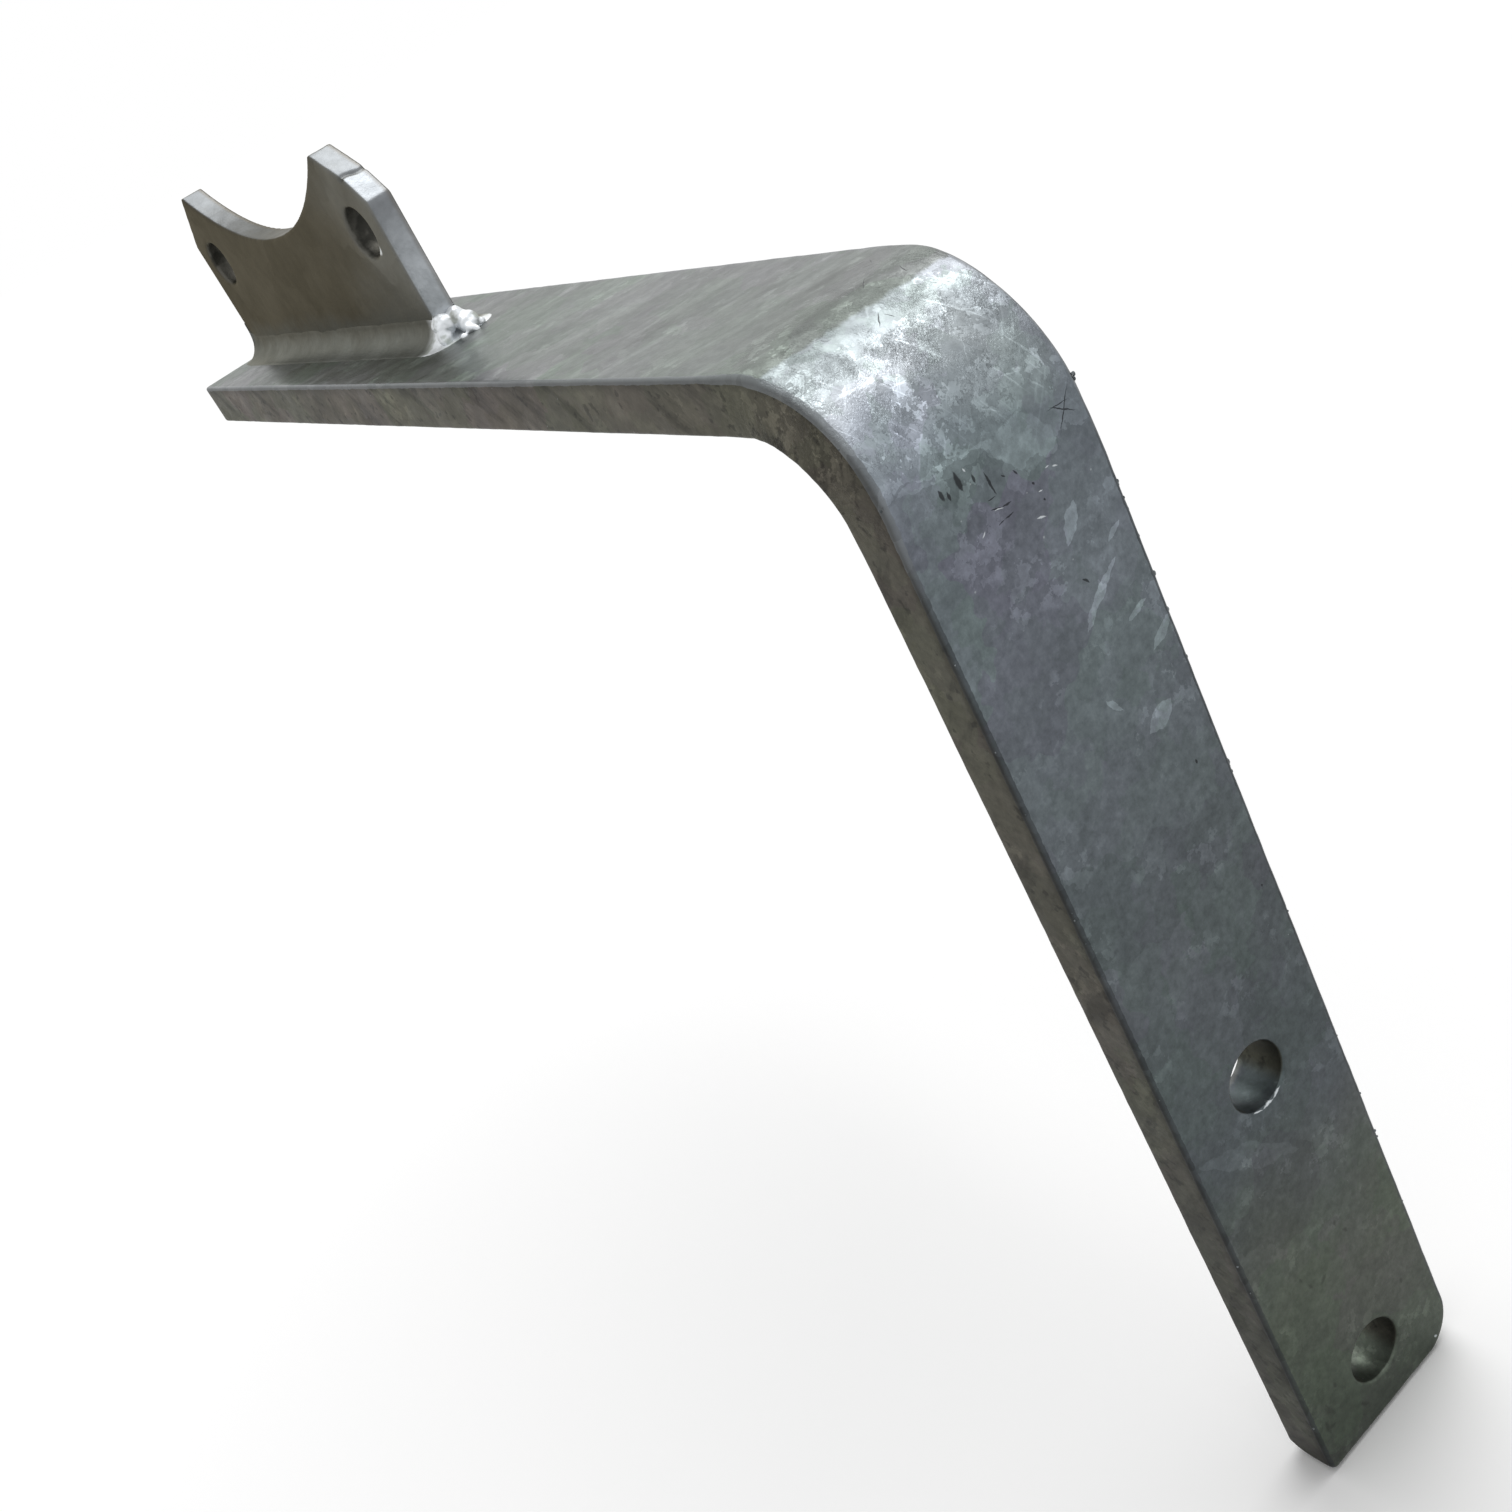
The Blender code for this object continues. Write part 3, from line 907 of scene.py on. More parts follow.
def pip_points():
    """Flat places and sizes of the pips: the measured ones, and the rows along the edges."""
    chance = np.random.default_rng(PIP_SEED)
    spots = list(MEASURED_PIPS)
    for start, end, number, edge, scatter, smallest, largest in PIP_ROWS:
        for along in chance.uniform(start, end, number):
            inwards = math.copysign(abs(chance.normal(0, scatter)), edge)
            spots.append((along, edge - inwards, chance.uniform(smallest, largest)))
    return np.array(spots)


pip_spots = pip_points()
pip_depth = PIP_EXTRA_DEPTH + pip_spots[:, 2] * PIP_SUNK
pip_flat = np.stack([pip_spots[:, 0], pip_spots[:, 1], pip_depth], axis=1)
pip_places = bend(pip_flat)
pip_ups = pip_places - bend(pip_flat + np.array([0, 0, MILLIMETRE]))
print(len(pip_places), "pips, the widest", round(2 * pip_spots[:, 2].max() / MILLIMETRE, 1), "mm")

# %% [markdown]
# ## Helpers for materials
#
# These make what the finishes are built from: soft steps, clouds of noise, masks and mixed colours.
# A cloud is about as wide as its size, in metres. Its detail adds finer clouds to it.

# %% Helpers for values
def invert(tree, value):
    """1 where the value is 0, and 0 where it is 1."""
    return calculate(tree, "SUBTRACT", 1.0, value)


def rise(tree, value, low, high):
    """0 where the value is below low, 1 above high, and a soft step between."""
    return add(tree, "ShaderNodeMapRange", {"Value": value, "From Min": low, "From Max": high},
               interpolation_type="SMOOTHSTEP")


def rescale(tree, value, low, high):
    """Turns a value from 0 to 1 into one from low to high."""
    return add(tree, "ShaderNodeMapRange", {"Value": value, "To Min": low, "To Max": high})


def mix_values(tree, factor, first, second):
    """Mixes two numbers."""
    return add(tree, "ShaderNodeMix", {0: factor, 2: first, 3: second}, data_type="FLOAT")


def vector_math(tree, operation, first, second, output="Vector"):
    """One sum with vectors. Only a scale takes a plain number as its second value."""
    key = "Scale" if operation == "SCALE" else 1
    return add(tree, "ShaderNodeVectorMath", {0: first, key: second}, output, operation=operation)


def split(tree, place):
    """The three numbers of a place."""
    parts = tree.nodes.new("ShaderNodeSeparateXYZ")
    feed(tree, parts.inputs[0], place)
    return tuple(parts.outputs)


def read(tree, name, output="Fac"):
    """A value that the mesh keeps for each point."""
    return add(tree, "ShaderNodeAttribute", {}, output=output, attribute_name=name)


# %% Helpers for patterns
def cloud(tree, place, size, detail=3.0, roughness=0.5, output="Fac"):
    """Noise whose patches are about as wide as size."""
    return add(tree, "ShaderNodeTexNoise", {"Vector": place, "Scale": 1 / size, "Detail": detail,
                                            "Roughness": roughness}, output=output)


def mottle(tree, place, size, low, high, detail=3.0, roughness=0.5):
    """A number that goes from low to high in clouds."""
    return rescale(tree, cloud(tree, place, size, detail, roughness), low, high)


def patches(tree, place, size, low, high, detail=3.0, roughness=0.5):
    """A mask of patches: they begin where the cloud passes low, and are full above high."""
    return rise(tree, cloud(tree, place, size, detail, roughness), low, high)


def wander(tree, place, reach, size, detail=3.0, roughness=0.6):
    """The place, shifted by noise, so that what is drawn there gets a ragged outline."""
    shift = cloud(tree, place, size, detail, roughness, "Color")
    centred = vector_math(tree, "SUBTRACT", shift, (0.5, 0.5, 0.5))
    return vector_math(tree, "ADD", place, vector_math(tree, "SCALE", centred, reach))


# %% Helpers for colours
def blend(tree, factor, first, second, mode="MIX"):
    """Mixes two colours."""
    made = tree.nodes.new("ShaderNodeMix")
    made.data_type = "RGBA"
    made.blend_type = mode
    feed(tree, made.inputs[0], factor)
    for index, colour in ((6, first), (7, second)):
        feed(tree, made.inputs[index], colour if isinstance(colour, bpy.types.NodeSocket) else (*colour, 1.0))
    return made.outputs[2]


def paint(tree, tone, mask, strength, colour):
    """Lays a colour over the tone where the mask is, no stronger than strength."""
    return blend(tree, multiply(tree, mask, strength), tone, colour)


def ramp(tree, factor, stops, length):
    """A colour that changes along a length, through stops of a place in millimetres and a colour."""
    made = tree.nodes.new("ShaderNodeValToRGB")
    elements = made.color_ramp.elements
    while len(elements) < len(stops):
        elements.new(0.5)
    for element, (place, colour) in zip(elements, stops):
        element.position = place * MILLIMETRE / length
        element.color = (*colour, 1.0)
    feed(tree, made.inputs[0], calculate(tree, "DIVIDE", factor, length))
    return made.outputs[0]


def scale_colour(tree, colour, amount):
    """Makes a colour lighter or darker by a factor."""
    grey = add(tree, "ShaderNodeCombineColor", {0: amount, 1: amount, 2: amount})
    return blend(tree, 1.0, colour, grey, "MULTIPLY")


def shade_by(tree, tone, mask, low, high):
    """Scales the tone by a factor that goes from low to high with the mask."""
    return scale_colour(tree, tone, rescale(tree, mask, low, high))


def tint_by(tree, tone, mask, first, second):
    """Multiplies the tone by a colour between two weak tints."""
    return blend(tree, 1.0, tone, blend(tree, mask, first, second), "MULTIPLY")


def use_group(tree, group, **inputs):
    """Places a group in a material and returns its outputs."""
    made = tree.nodes.new("ShaderNodeGroup")
    made.node_tree = group
    for label, value in inputs.items():
        feed(tree, made.inputs[label.replace("_", " ")], value)
    return made.outputs


# %% Start and finish of a material
ZINC_METALLIC = 0.9
GRAZING_TINT = (0.62, 0.58, 0.48, 1.0)


def start_material(name):
    """A material with its shader, ready to be fed."""
    material = bpy.data.materials.new(name)
    material.use_nodes = True
    tree = material.node_tree
    return material, tree, tree.nodes["Principled BSDF"].inputs


def finish_zinc(tree, shader, tone, rough):
    """Feeds the shader with the tone and the roughness. All of the bracket's zinc is equally metallic."""
    feed(tree, shader["Base Color"], tone)
    feed(tree, shader["Roughness"], rough)
    shader["Metallic"].default_value = ZINC_METALLIC


def add_bump(tree, shader, height, depth):
    """Bends the surface's normals by a height that stands for this depth."""
    bump = add(tree, "ShaderNodeBump", {"Strength": 1.0, "Distance": depth, "Height": height})
    feed(tree, shader["Normal"], bump)


def dress(item, materials):
    """Gives the item these materials and no others."""
    item.data.materials.clear()
    for material in materials:
        item.data.materials.append(material)


# %% [markdown]
# ## Crystals
#
# Zinc freezes in crystals, and each one shines a little differently. A Voronoi texture gives cells
# with straight sides. Noise bends the place first, so that the borders wander as they do in zinc.

# %% Group: zinc crystals
CRYSTAL_WANDER_SIZE = 1 / 2.4
CRYSTAL_LINE = 0.06


def crystal_group():
    """Shade of each crystal, its tint, and a thin line along its border."""
    tree, given, result = new_group(
        "zinc crystals", (("Place", "Vector", None), ("Size", "Float", 0.01), ("Wander", "Float", 0.3)),
        (("Shade", "Float"), ("Tint", "Float"), ("Border", "Float")))
    scaled = vector_math(tree, "SCALE", given["Place"], calculate(tree, "DIVIDE", 1.0, given["Size"]))
    place = wander(tree, scaled, given["Wander"], CRYSTAL_WANDER_SIZE, 2.5, 0.5)
    cell = add(tree, "ShaderNodeTexVoronoi", {"Vector": place, "Scale": 1.0}, output="Color")
    parts = tree.nodes.new("ShaderNodeSeparateColor")
    tree.links.new(cell, parts.inputs[0])
    border = add(tree, "ShaderNodeTexVoronoi", {"Vector": place, "Scale": 1.0}, feature="DISTANCE_TO_EDGE")
    feed(tree, result["Shade"], parts.outputs[0])
    feed(tree, result["Tint"], parts.outputs[1])
    feed(tree, result["Border"], invert(tree, rise(tree, border, 0.0, CRYSTAL_LINE)))
    return tree


crystals = crystal_group()

# %% [markdown]
# ## Specks
#
# Dust, drops and pin holes are small and scattered. Each Voronoi cell holds one round speck at its
# middle, and a random number decides which cells show theirs.

# %% Group: specks
def speck_group():
    """A mask of scattered round specks."""
    tree, given, result = new_group(
        "specks", (("Place", "Vector", None), ("Spacing", "Float", 0.003), ("Radius", "Float", 0.1),
                   ("Share", "Float", 0.2)), (("Mask", "Float"),))
    scaled = vector_math(tree, "SCALE", given["Place"], calculate(tree, "DIVIDE", 1.0, given["Spacing"]))
    cells = tree.nodes.new("ShaderNodeTexVoronoi")
    cells.inputs["Scale"].default_value = 1.0
    tree.links.new(scaled, cells.inputs["Vector"])
    parts = tree.nodes.new("ShaderNodeSeparateColor")
    tree.links.new(cells.outputs["Color"], parts.inputs[0])
    chosen = calculate(tree, "LESS_THAN", parts.outputs[0], given["Share"])
    radius = multiply(tree, given["Radius"], rescale(tree, parts.outputs[1], 0.5, 1.0))
    share = calculate(tree, "DIVIDE", cells.outputs["Distance"], radius)
    inside = calculate(tree, "SUBTRACT", 1.0, share, clamp=True)
    feed(tree, result["Mask"], multiply(tree, rise(tree, inside, 0.0, 0.5), chosen))
    return tree


specks = speck_group()

# %% [markdown]
# ## Streaks and grain
#
# Zinc runs off as the bracket is lifted out, and leaves streaks. They are noise drawn out along one
# direction. The zinc also has a fine grain, which shows only as a bump. The bar and the weld share
# the streaks, and the plate shares the grain with both, so each effect is a group of its own.

# %% Groups: streaks and grain
def streak_group():
    """Noise drawn out along a direction in the plane of the outer face."""
    tree, given, result = new_group(
        "zinc streaks", (("Place", "Vector", None), ("Turn", "Float", 0.0), ("Size", "Float", 0.005),
                         ("Slimness", "Float", 0.1)), (("Value", "Float"),))
    back = calculate(tree, "MULTIPLY", given["Turn"], -1.0)
    turned = add(tree, "ShaderNodeVectorRotate", {"Vector": given["Place"], "Angle": back},
                 rotation_type="Z_AXIS")
    slim = add(tree, "ShaderNodeCombineXYZ", {0: given["Slimness"], 1: 1.0, 2: 1.0})
    drawn_out = vector_math(tree, "MULTIPLY", turned, slim)
    scale = calculate(tree, "DIVIDE", 1.0, given["Size"])
    value = add(tree, "ShaderNodeTexNoise", {"Vector": drawn_out, "Scale": scale, "Detail": 3.0,
                                             "Roughness": 0.55}, output="Fac")
    feed(tree, result["Value"], value)
    return tree


def grain_group():
    """Height of the fine grain of frozen zinc."""
    tree, given, result = new_group(
        "zinc grain", (("Place", "Vector", None), ("Size", "Float", 0.0007), ("Coarseness", "Float", 0.65)),
        (("Height", "Float"),))
    scale = calculate(tree, "DIVIDE", 1.0, given["Size"])
    height = add(tree, "ShaderNodeTexNoise", {"Vector": given["Place"], "Scale": scale, "Detail": 4.0,
                                              "Roughness": given["Coarseness"]}, output="Fac")
    feed(tree, result["Height"], height)
    return tree


zinc_streaks = streak_group()
zinc_grain = grain_group()


def streaks(tree, place, turn, size, slimness, low, high):
    """A mask of streaks, turned from the length of the bar by an angle in degrees."""
    value = use_group(tree, zinc_streaks, Place=place, Turn=math.radians(turn), Size=size,
                      Slimness=slimness)["Value"]
    return rise(tree, value, low, high)


# %% [markdown]
# ## Marks
#
# Some marks are seen one by one: short dark nicks, a crossed scratch, a few pale leaf-shaped crystals, and
# bright glints, which are painted highlights. Each is drawn in the plane of the flat bar by its centre and by
# two directions, which are divided by the half length and the half width. The value is 1 at the middle and 0
# at the outline, which narrows to a point at both ends. The largest value of a list is kept, and one soft
# step turns it into a mask.

# %% Group: one mark
def mark_group():
    """How far inside one long pointed mark a place lies, or the value so far where that is larger."""
    tree, given, result = new_group(
        "one mark", (("Place", "Vector", None), ("Centre", "Vector", None), ("Length Way", "Vector", None),
                     ("Width Way", "Vector", None), ("So Far", "Float", -1.0)), (("Inside", "Float"),))
    away = vector_math(tree, "SUBTRACT", given["Place"], given["Centre"])
    along = vector_math(tree, "DOT_PRODUCT", away, given["Length Way"], "Value")
    across = vector_math(tree, "DOT_PRODUCT", away, given["Width Way"], "Value")
    used = calculate(tree, "ADD", multiply(tree, along, along), calculate(tree, "ABSOLUTE", across))
    feed(tree, result["Inside"], calculate(tree, "MAXIMUM", given["So Far"], invert(tree, used)))
    return tree


one_mark = mark_group()

# %% [markdown]
# The marks were measured on the real bar: along and across in millimetres, the turn in degrees from
# the bar's length, and the half length and half width. Each list is drawn in one way. Some lists
# shade the tone by a factor, and the others are painted over it in a colour of their own. An
# outline wanders slightly, clearly or widely.

# %% The marks
NICKS = ((294.6, -10.1, 8, 1.2, 0.46), (295.4, -9.0, 0, 0.9, 0.40), (294.5, -6.6, 5, 2.0, 0.60),
         (295.6, -4.0, 2, 0.9, 0.32), (297.8, -1.8, 7, 2.4, 0.30), (299.9, -2.5, 81, 0.9, 0.13),
         (301.6, -2.5, 69, 1.2, 0.15), (302.1, -0.5, 83, 1.1, 0.22), (303.9, -2.6, 101, 0.8, 0.13),
         (303.8, -0.9, 90, 1.2, 0.18), (298.2, 0.8, 45, 0.5, 0.16), (299.0, 3.0, 27, 0.7, 0.18),
         (302.2, 5.1, 27, 0.4, 0.22), (305.4, 5.9, 0, 0.3, 0.25), (295.8, 15.0, 55, 3.2, 0.14),
         (296.0, 15.2, -38, 4.2, 0.15), (294.8, 14.4, 84, 2.6, 0.11), (249.6, 13.6, 62, 1.3, 0.14),
         (253.0, 12.6, 48, 1.0, 0.13), (252.0, 14.2, -30, 1.2, 0.12), (258.5, 7.0, -45, 2.4, 0.13),
         (268.0, 0.8, -41, 2.0, 0.14), (268.6, 2.4, 20, 1.0, 0.12), (262.0, 12.0, -20, 1.4, 0.14),
         (320.5, 7.2, 40, 1.0, 0.30), (360.0, 13.5, 0, 0.5, 0.32), (389.0, 16.5, 0, 0.4, 0.28),
         (201.0, 18.0, 0, 0.5, 0.3))
# Painted highlights: bright glints near the bend, at the back corner of the leg's end, and on the rim of the
# bolt hole nearer the bend.
PAINTED_GLINTS = ((293.6, -4.9, 18, 0.5, 0.2), (303.6, -6.2, 127, 0.7, 0.17), (301.9, -2.1, 69, 1.1, 0.12),
          (307.4, 4.2, 69, 1.1, 0.25), (303.9, 5.9, 72, 0.5, 0.15), (301.5, 8.5, 90, 0.5, 0.16),
          (302.2, 9.9, 68, 0.7, 0.2), (507.0, 14.8, 45, 0.6, 0.4), (426.5, 0.0, 90, 1.6, 0.22),
          (426.0, 2.6, 112, 1.5, 0.22), (426.0, -2.6, 68, 1.4, 0.16))
LEAVES = ((311.2, 8.6, -38, 3.6, 1.4), (323.6, 9.0, -58, 5.8, 0.9), (348.5, 10.4, -70, 3.4, 2.0),
          (336.5, 17.0, -60, 3.6, 1.0), (330.5, 14.0, -75, 2.4, 0.7), (326.5, 5.4, -55, 2.2, 0.5),
          (317.0, 15.5, -60, 2.0, 0.5), (341.0, 3.0, 40, 2.2, 0.5))
PALE_PATCHES = ((292.2, -6.5, 85, 10.5, 1.3), (296.0, 6.2, 62, 6.6, 4.2), (299.4, 2.6, 10, 3.2, 2.0),
                (432.0, -8.0, 52, 13.0, 2.6))
DARK_BLOTCHES = ((469.0, -4.2, -63, 1.5, 0.9), (467.5, -7.5, 20, 1.2, 0.7), (495.4, -14.8, 22, 2.2, 1.0),
                 (498.9, -16.8, 0, 2.6, 0.9), (464.5, 4.5, 30, 1.1, 0.7), (464.5, -9.0, 0, 0.8, 0.6),
                 (496.0, -15.0, 30, 2.6, 1.3), (499.5, -16.0, 80, 1.8, 0.8), (492.0, -11.5, 0, 0.9, 0.7),
                 (461.0, 3.0, 0, 1.0, 0.6), (503.0, -7.0, 40, 1.6, 0.9), (487.0, 12.0, 0, 0.9, 0.7))
ARM_SCRATCHES = ((229.5, -11.0, 68, 2.7, 0.16), (230.0, -7.8, 58, 3.8, 0.18), (234.8, -10.8, 67, 1.9, 0.16),
                 (227.0, -12.0, 66, 2.4, 0.12), (231.5, -12.4, 66, 1.6, 0.12), (251.8, -5.8, 72, 2.4, 0.16),
                 (206.2, 0.8, 69, 4.5, 1.2), (226.5, 4.0, 80, 4.6, 1.4), (203.8, 10.6, 90, 3.6, 1.8),
                 (260.5, -12.5, 88, 2.8, 0.5), (208.8, 1.5, 92, 9.0, 1.1), (98.5, -11.2, 69, 6.2, 1.1),
                 (123.5, -11.0, 76, 5.0, 0.9), (130.0, -6.5, 92, 5.5, 3.2))
ARM_SHADES = ((258.6, -1.0, 95, 13.0, 3.2), (246.0, 7.5, 70, 8.0, 2.4), (213.0, -4.0, 75, 8.0, 2.0),
              (233.0, 8.0, 66, 7.0, 1.6))
BEND_SCRATCHES = ((275.2, -10.5, 82, 6.2, 0.55), (278.5, -11.5, -14, 2.2, 0.16),
                  (278.2, -6.0, 81, 1.8, 0.3), (282.0, -2.0, 60, 2.6, 0.14), (284.0, -9.0, 40, 2.2, 0.12),
                  (280.0, 6.0, -30, 2.4, 0.14), (286.5, 9.0, 75, 2.6, 0.16), (289.0, 3.5, 50, 1.8, 0.2),
                  (272.0, -6.0, 70, 3.4, 0.14), (276.0, 12.0, 50, 2.8, 0.14), (290.0, 12.5, 30, 1.8, 0.2),
                  (283.0, 14.5, 80, 2.0, 0.16))

# %% How the marks are drawn
OUTLINES = {"slight": (0.0005, 0.0012), "ragged": (0.0014, 0.0020), "wide": (0.0045, 0.0060)}
SHADING_MARKS = ((ARM_SHADES, "wide", 0.7, 0.80), (PALE_PATCHES, "wide", 0.05, 1.26),
                 (LEAVES, "ragged", 0.10, 1.62), (ARM_SCRATCHES, "ragged", 0.8, 1.28),
                 (BEND_SCRATCHES, "ragged", 0.6, 1.35))
# The glints among the painted lists are painted highlights.
PAINTED_MARKS = ((DARK_BLOTCHES, "ragged", 0.9, 0.55, (0.030, 0.031, 0.027)),
                 (NICKS, "slight", 0.5, 0.85, (0.020, 0.021, 0.023)),
                 (PAINTED_GLINTS, "slight", 0.7, 0.9, (0.60, 0.64, 0.66)))
MARK_MARGIN = 8
MARK_DEPTH = 0.0015


def draw_marks(tree, place, depth, marks, softness, zone):
    """One mask that holds the marks of a list that reach into a zone of the bar."""
    inside = -1.0
    for along, across, turn, half_length, half_width in marks:
        margin = half_length + MARK_MARGIN
        if not zone[0] - margin < along < zone[1] + margin:
            continue
        cosine, sine = math.cos(math.radians(turn)), math.sin(math.radians(turn))
        length_way = tuple(value / (half_length * MILLIMETRE) for value in (cosine, sine, 0.0))
        width_way = tuple(value / (half_width * MILLIMETRE) for value in (-sine, cosine, 0.0))
        centre = (along * MILLIMETRE, across * MILLIMETRE, 0.0)
        inside = use_group(tree, one_mark, Place=place, Centre=centre, Length_Way=length_way,
                           Width_Way=width_way, So_Far=inside)["Inside"]
    return multiply(tree, rise(tree, inside, 0.0, softness), calculate(tree, "LESS_THAN", depth, MARK_DEPTH))


# %% [markdown]
# ## The bar's large tones
#
# The arm's top is pale. It ends at a ragged, slanting border, and the crackled bend begins: bright at its top
# and darker down its fall, which is a painted highlight that fades from the front edge to the back one. A
# second ragged border crosses the bar just below the bend. From there the outer face is slate blue, and it
# turns olive towards the leg's end; its darkening down the leg is partly a darker patina and partly painted
# shade. The sides are a dull brown grey. The tones of the outer face lie on one colour ramp along the bar.

# %% Tones of the bar
ARM_TONE = (0.149, 0.161, 0.150)
SIDE_TONE = (0.088, 0.080, 0.062)
SIDE_END_TONE = (0.052, 0.050, 0.040)
INNER_TONE = (0.170, 0.172, 0.165)
# The ramp paints light: its bright stops round the bend are a painted highlight, and its fall down the leg is
# partly a darker patina and partly painted shade.
OUTER_TONES_WITH_PAINTED_LIGHT = ((262, (0.24, 0.26, 0.27)), (268, (0.38, 0.41, 0.425)), (275, (0.47, 0.50, 0.52)),
               (281, (0.35, 0.38, 0.41)), (290, (0.205, 0.230, 0.255)), (298, (0.172, 0.194, 0.214)),
               (340, (0.128, 0.144, 0.157)), (385, (0.096, 0.107, 0.114)), (425, (0.077, 0.088, 0.094)),
               (468, (0.087, 0.097, 0.078)), (509, (0.080, 0.091, 0.074)))
TONE_DRIFT = 0.018
BEND_BORDER = 0.2643
BORDER_SLANT = 0.078
BORDER_RAGGEDNESS = 0.0012
LOWER_BORDER = (0.2918, 0.2995)
LOWER_BORDER_STEP = (-0.003, 0.005)
LOWER_BORDER_RAGGEDNESS = 0.006
ABOVE_AND_BELOW = (1.13, 0.84)
# The bend's painted highlight fades from the front edge to the back one.
BEND_HIGHLIGHT_FRONT_TO_BACK = (1.10, 0.72)


# %% Read the bar
def read_bar(tree):
    """What the bar's mesh says of each point: its flat place, its nearest edge, its strain and its side."""
    place = read(tree, "flat_place", "Vector")
    along, across, depth = split(tree, place)
    return SimpleNamespace(place=place, along=along, across=across, depth=depth,
                           edge=read(tree, "edge_distance"), strain=read(tree, "strain"),
                           side=read(tree, "side_face"))


def outer_tone(tree, spot, drift):
    """The outer face from the bend to the leg's end, with the lower border across it, the bend's painted
    highlight and the leg's partly painted shade.
    """
    tone = ramp(tree, calculate(tree, "ADD", spot.along, drift), OUTER_TONES_WITH_PAINTED_LIGHT, BAR_FLAT)
    # Painted highlight: the bend is brighter at the front edge and fades towards the back one.
    falling = rescale(tree, rise(tree, spot.across, -BAR_WIDTH / 2, BAR_WIDTH / 2), *BEND_HIGHLIGHT_FRONT_TO_BACK)
    tone = scale_colour(tree, tone, mix_values(tree, rise(tree, spot.strain, 0.0, 0.4), 1.0, falling))
    reach = LOWER_BORDER_RAGGEDNESS
    border = calculate(tree, "ADD", mottle(tree, spot.place, 0.006, reach, -reach, 4.0, 0.55),
                       rescale(tree, rise(tree, spot.across, *LOWER_BORDER_STEP), *LOWER_BORDER))
    below = calculate(tree, "GREATER_THAN", spot.along, border)
    near = calculate(tree, "SUBTRACT", rise(tree, spot.along, 0.280, 0.289),
                     rise(tree, spot.along, 0.300, 0.325))
    return scale_colour(tree, tone, mix_values(tree, near, 1.0, rescale(tree, below, *ABOVE_AND_BELOW)))


def bar_tone(tree, spot):
    """The large tones of the bar, from the arm round the bend to the leg's end, with painted light round the
    bend and down the leg.
    """
    drift = mottle(tree, spot.place, 0.022, -TONE_DRIFT, TONE_DRIFT)
    arm = shade_by(tree, ARM_TONE, rise(tree, spot.along, 0.115, 0.190), 0.89, 1.0)
    border = calculate(tree, "SUBTRACT", spot.along, multiply(tree, spot.across, BORDER_SLANT))
    reach = BORDER_RAGGEDNESS
    border = calculate(tree, "ADD", border, mottle(tree, spot.place, 0.003, -reach, reach, 4.0, 0.65))
    past_border = rise(tree, border, BEND_BORDER - 0.0005, BEND_BORDER + 0.0007)
    tone = blend(tree, past_border, arm, outer_tone(tree, spot, drift))
    tone = blend(tree, rise(tree, spot.depth, 0.0085, 0.0100), tone, INNER_TONE)
    down_leg = rise(tree, calculate(tree, "ADD", spot.along, drift), 0.300, 0.500)
    return blend(tree, spot.side, tone, blend(tree, down_leg, SIDE_TONE, SIDE_END_TONE))


# %% [markdown]
# ## The bar's small patterns
#
# Over the tones lie, from large to small: crystals in two sizes, clouds, small pale chips and grain.
# The bend's stretched coating shows as flakes with dark borders, in patches, and the sides have dark
# slanting smears. Each function gives a factor for the tone, or a mask.

# %% Crystals, clouds, flakes and smears
SMEAR_TURN = -0.9
FLAKE_SIZE = 0.0021


def bar_shade(tree, spot, large, small):
    """How crystals, clouds, chips and grain lighten and darken the tone."""
    place = spot.place
    chips = use_group(tree, crystals, Place=place, Size=FLAKE_SIZE, Wander=1.3)["Shade"]
    chips = multiply(tree, rise(tree, chips, 0.72, 0.76), patches(tree, place, 0.014, 0.48, 0.62))
    leg_grain = mottle(tree, place, 0.0018, 0.55, 1.45, 5.0, 0.7)
    factors = (rescale(tree, large["Shade"], 0.90, 1.12),
               rescale(tree, small["Shade"], 0.94, 1.07),
               mottle(tree, place, 0.009, 0.76, 1.24, 4.0, 0.6),
               rescale(tree, patches(tree, place, 0.0030, 0.42, 0.58, 5.0, 0.65), 0.93, 1.07),
               mottle(tree, place, 0.0011, 0.80, 1.20, 4.0, 0.65),
               rescale(tree, chips, 0.97, 1.30),
               mix_values(tree, rise(tree, spot.along, 0.278, 0.300), 1.0, leg_grain))
    return multiply(tree, *factors)


def bend_flakes(tree, spot):
    """The stretched coating of the bend: flakes with dark borders, in patches."""
    flakes = use_group(tree, crystals, Place=spot.place, Size=FLAKE_SIZE, Wander=1.7)
    stretched = multiply(tree, spot.strain, patches(tree, spot.place, 0.009, 0.36, 0.56, 2.0))
    shade = mix_values(tree, stretched, 1.0, rescale(tree, flakes["Shade"], 0.66, 1.36))
    return multiply(tree, shade, mix_values(tree, multiply(tree, stretched, flakes["Border"]), 1.0, 0.62))


def side_smears(tree, spot):
    """Dark slanting smears and blots on the bar's sides."""
    turned = add(tree, "ShaderNodeVectorRotate", {"Vector": spot.place, "Angle": SMEAR_TURN},
                 rotation_type="Y_AXIS")
    drawn_out = vector_math(tree, "MULTIPLY", turned, (1.0, 1.0, 0.25))
    smears = patches(tree, drawn_out, 0.0050, 0.52, 0.64, 4.0, 0.6)
    blots = patches(tree, spot.place, 0.0024, 0.60, 0.68)
    return multiply(tree, rescale(tree, multiply(tree, smears, spot.side), 1.06, 0.66),
                    rescale(tree, multiply(tree, blots, spot.side), 1.0, 0.55))


# %% Runs and hair scratches
RUN_TURN = 70


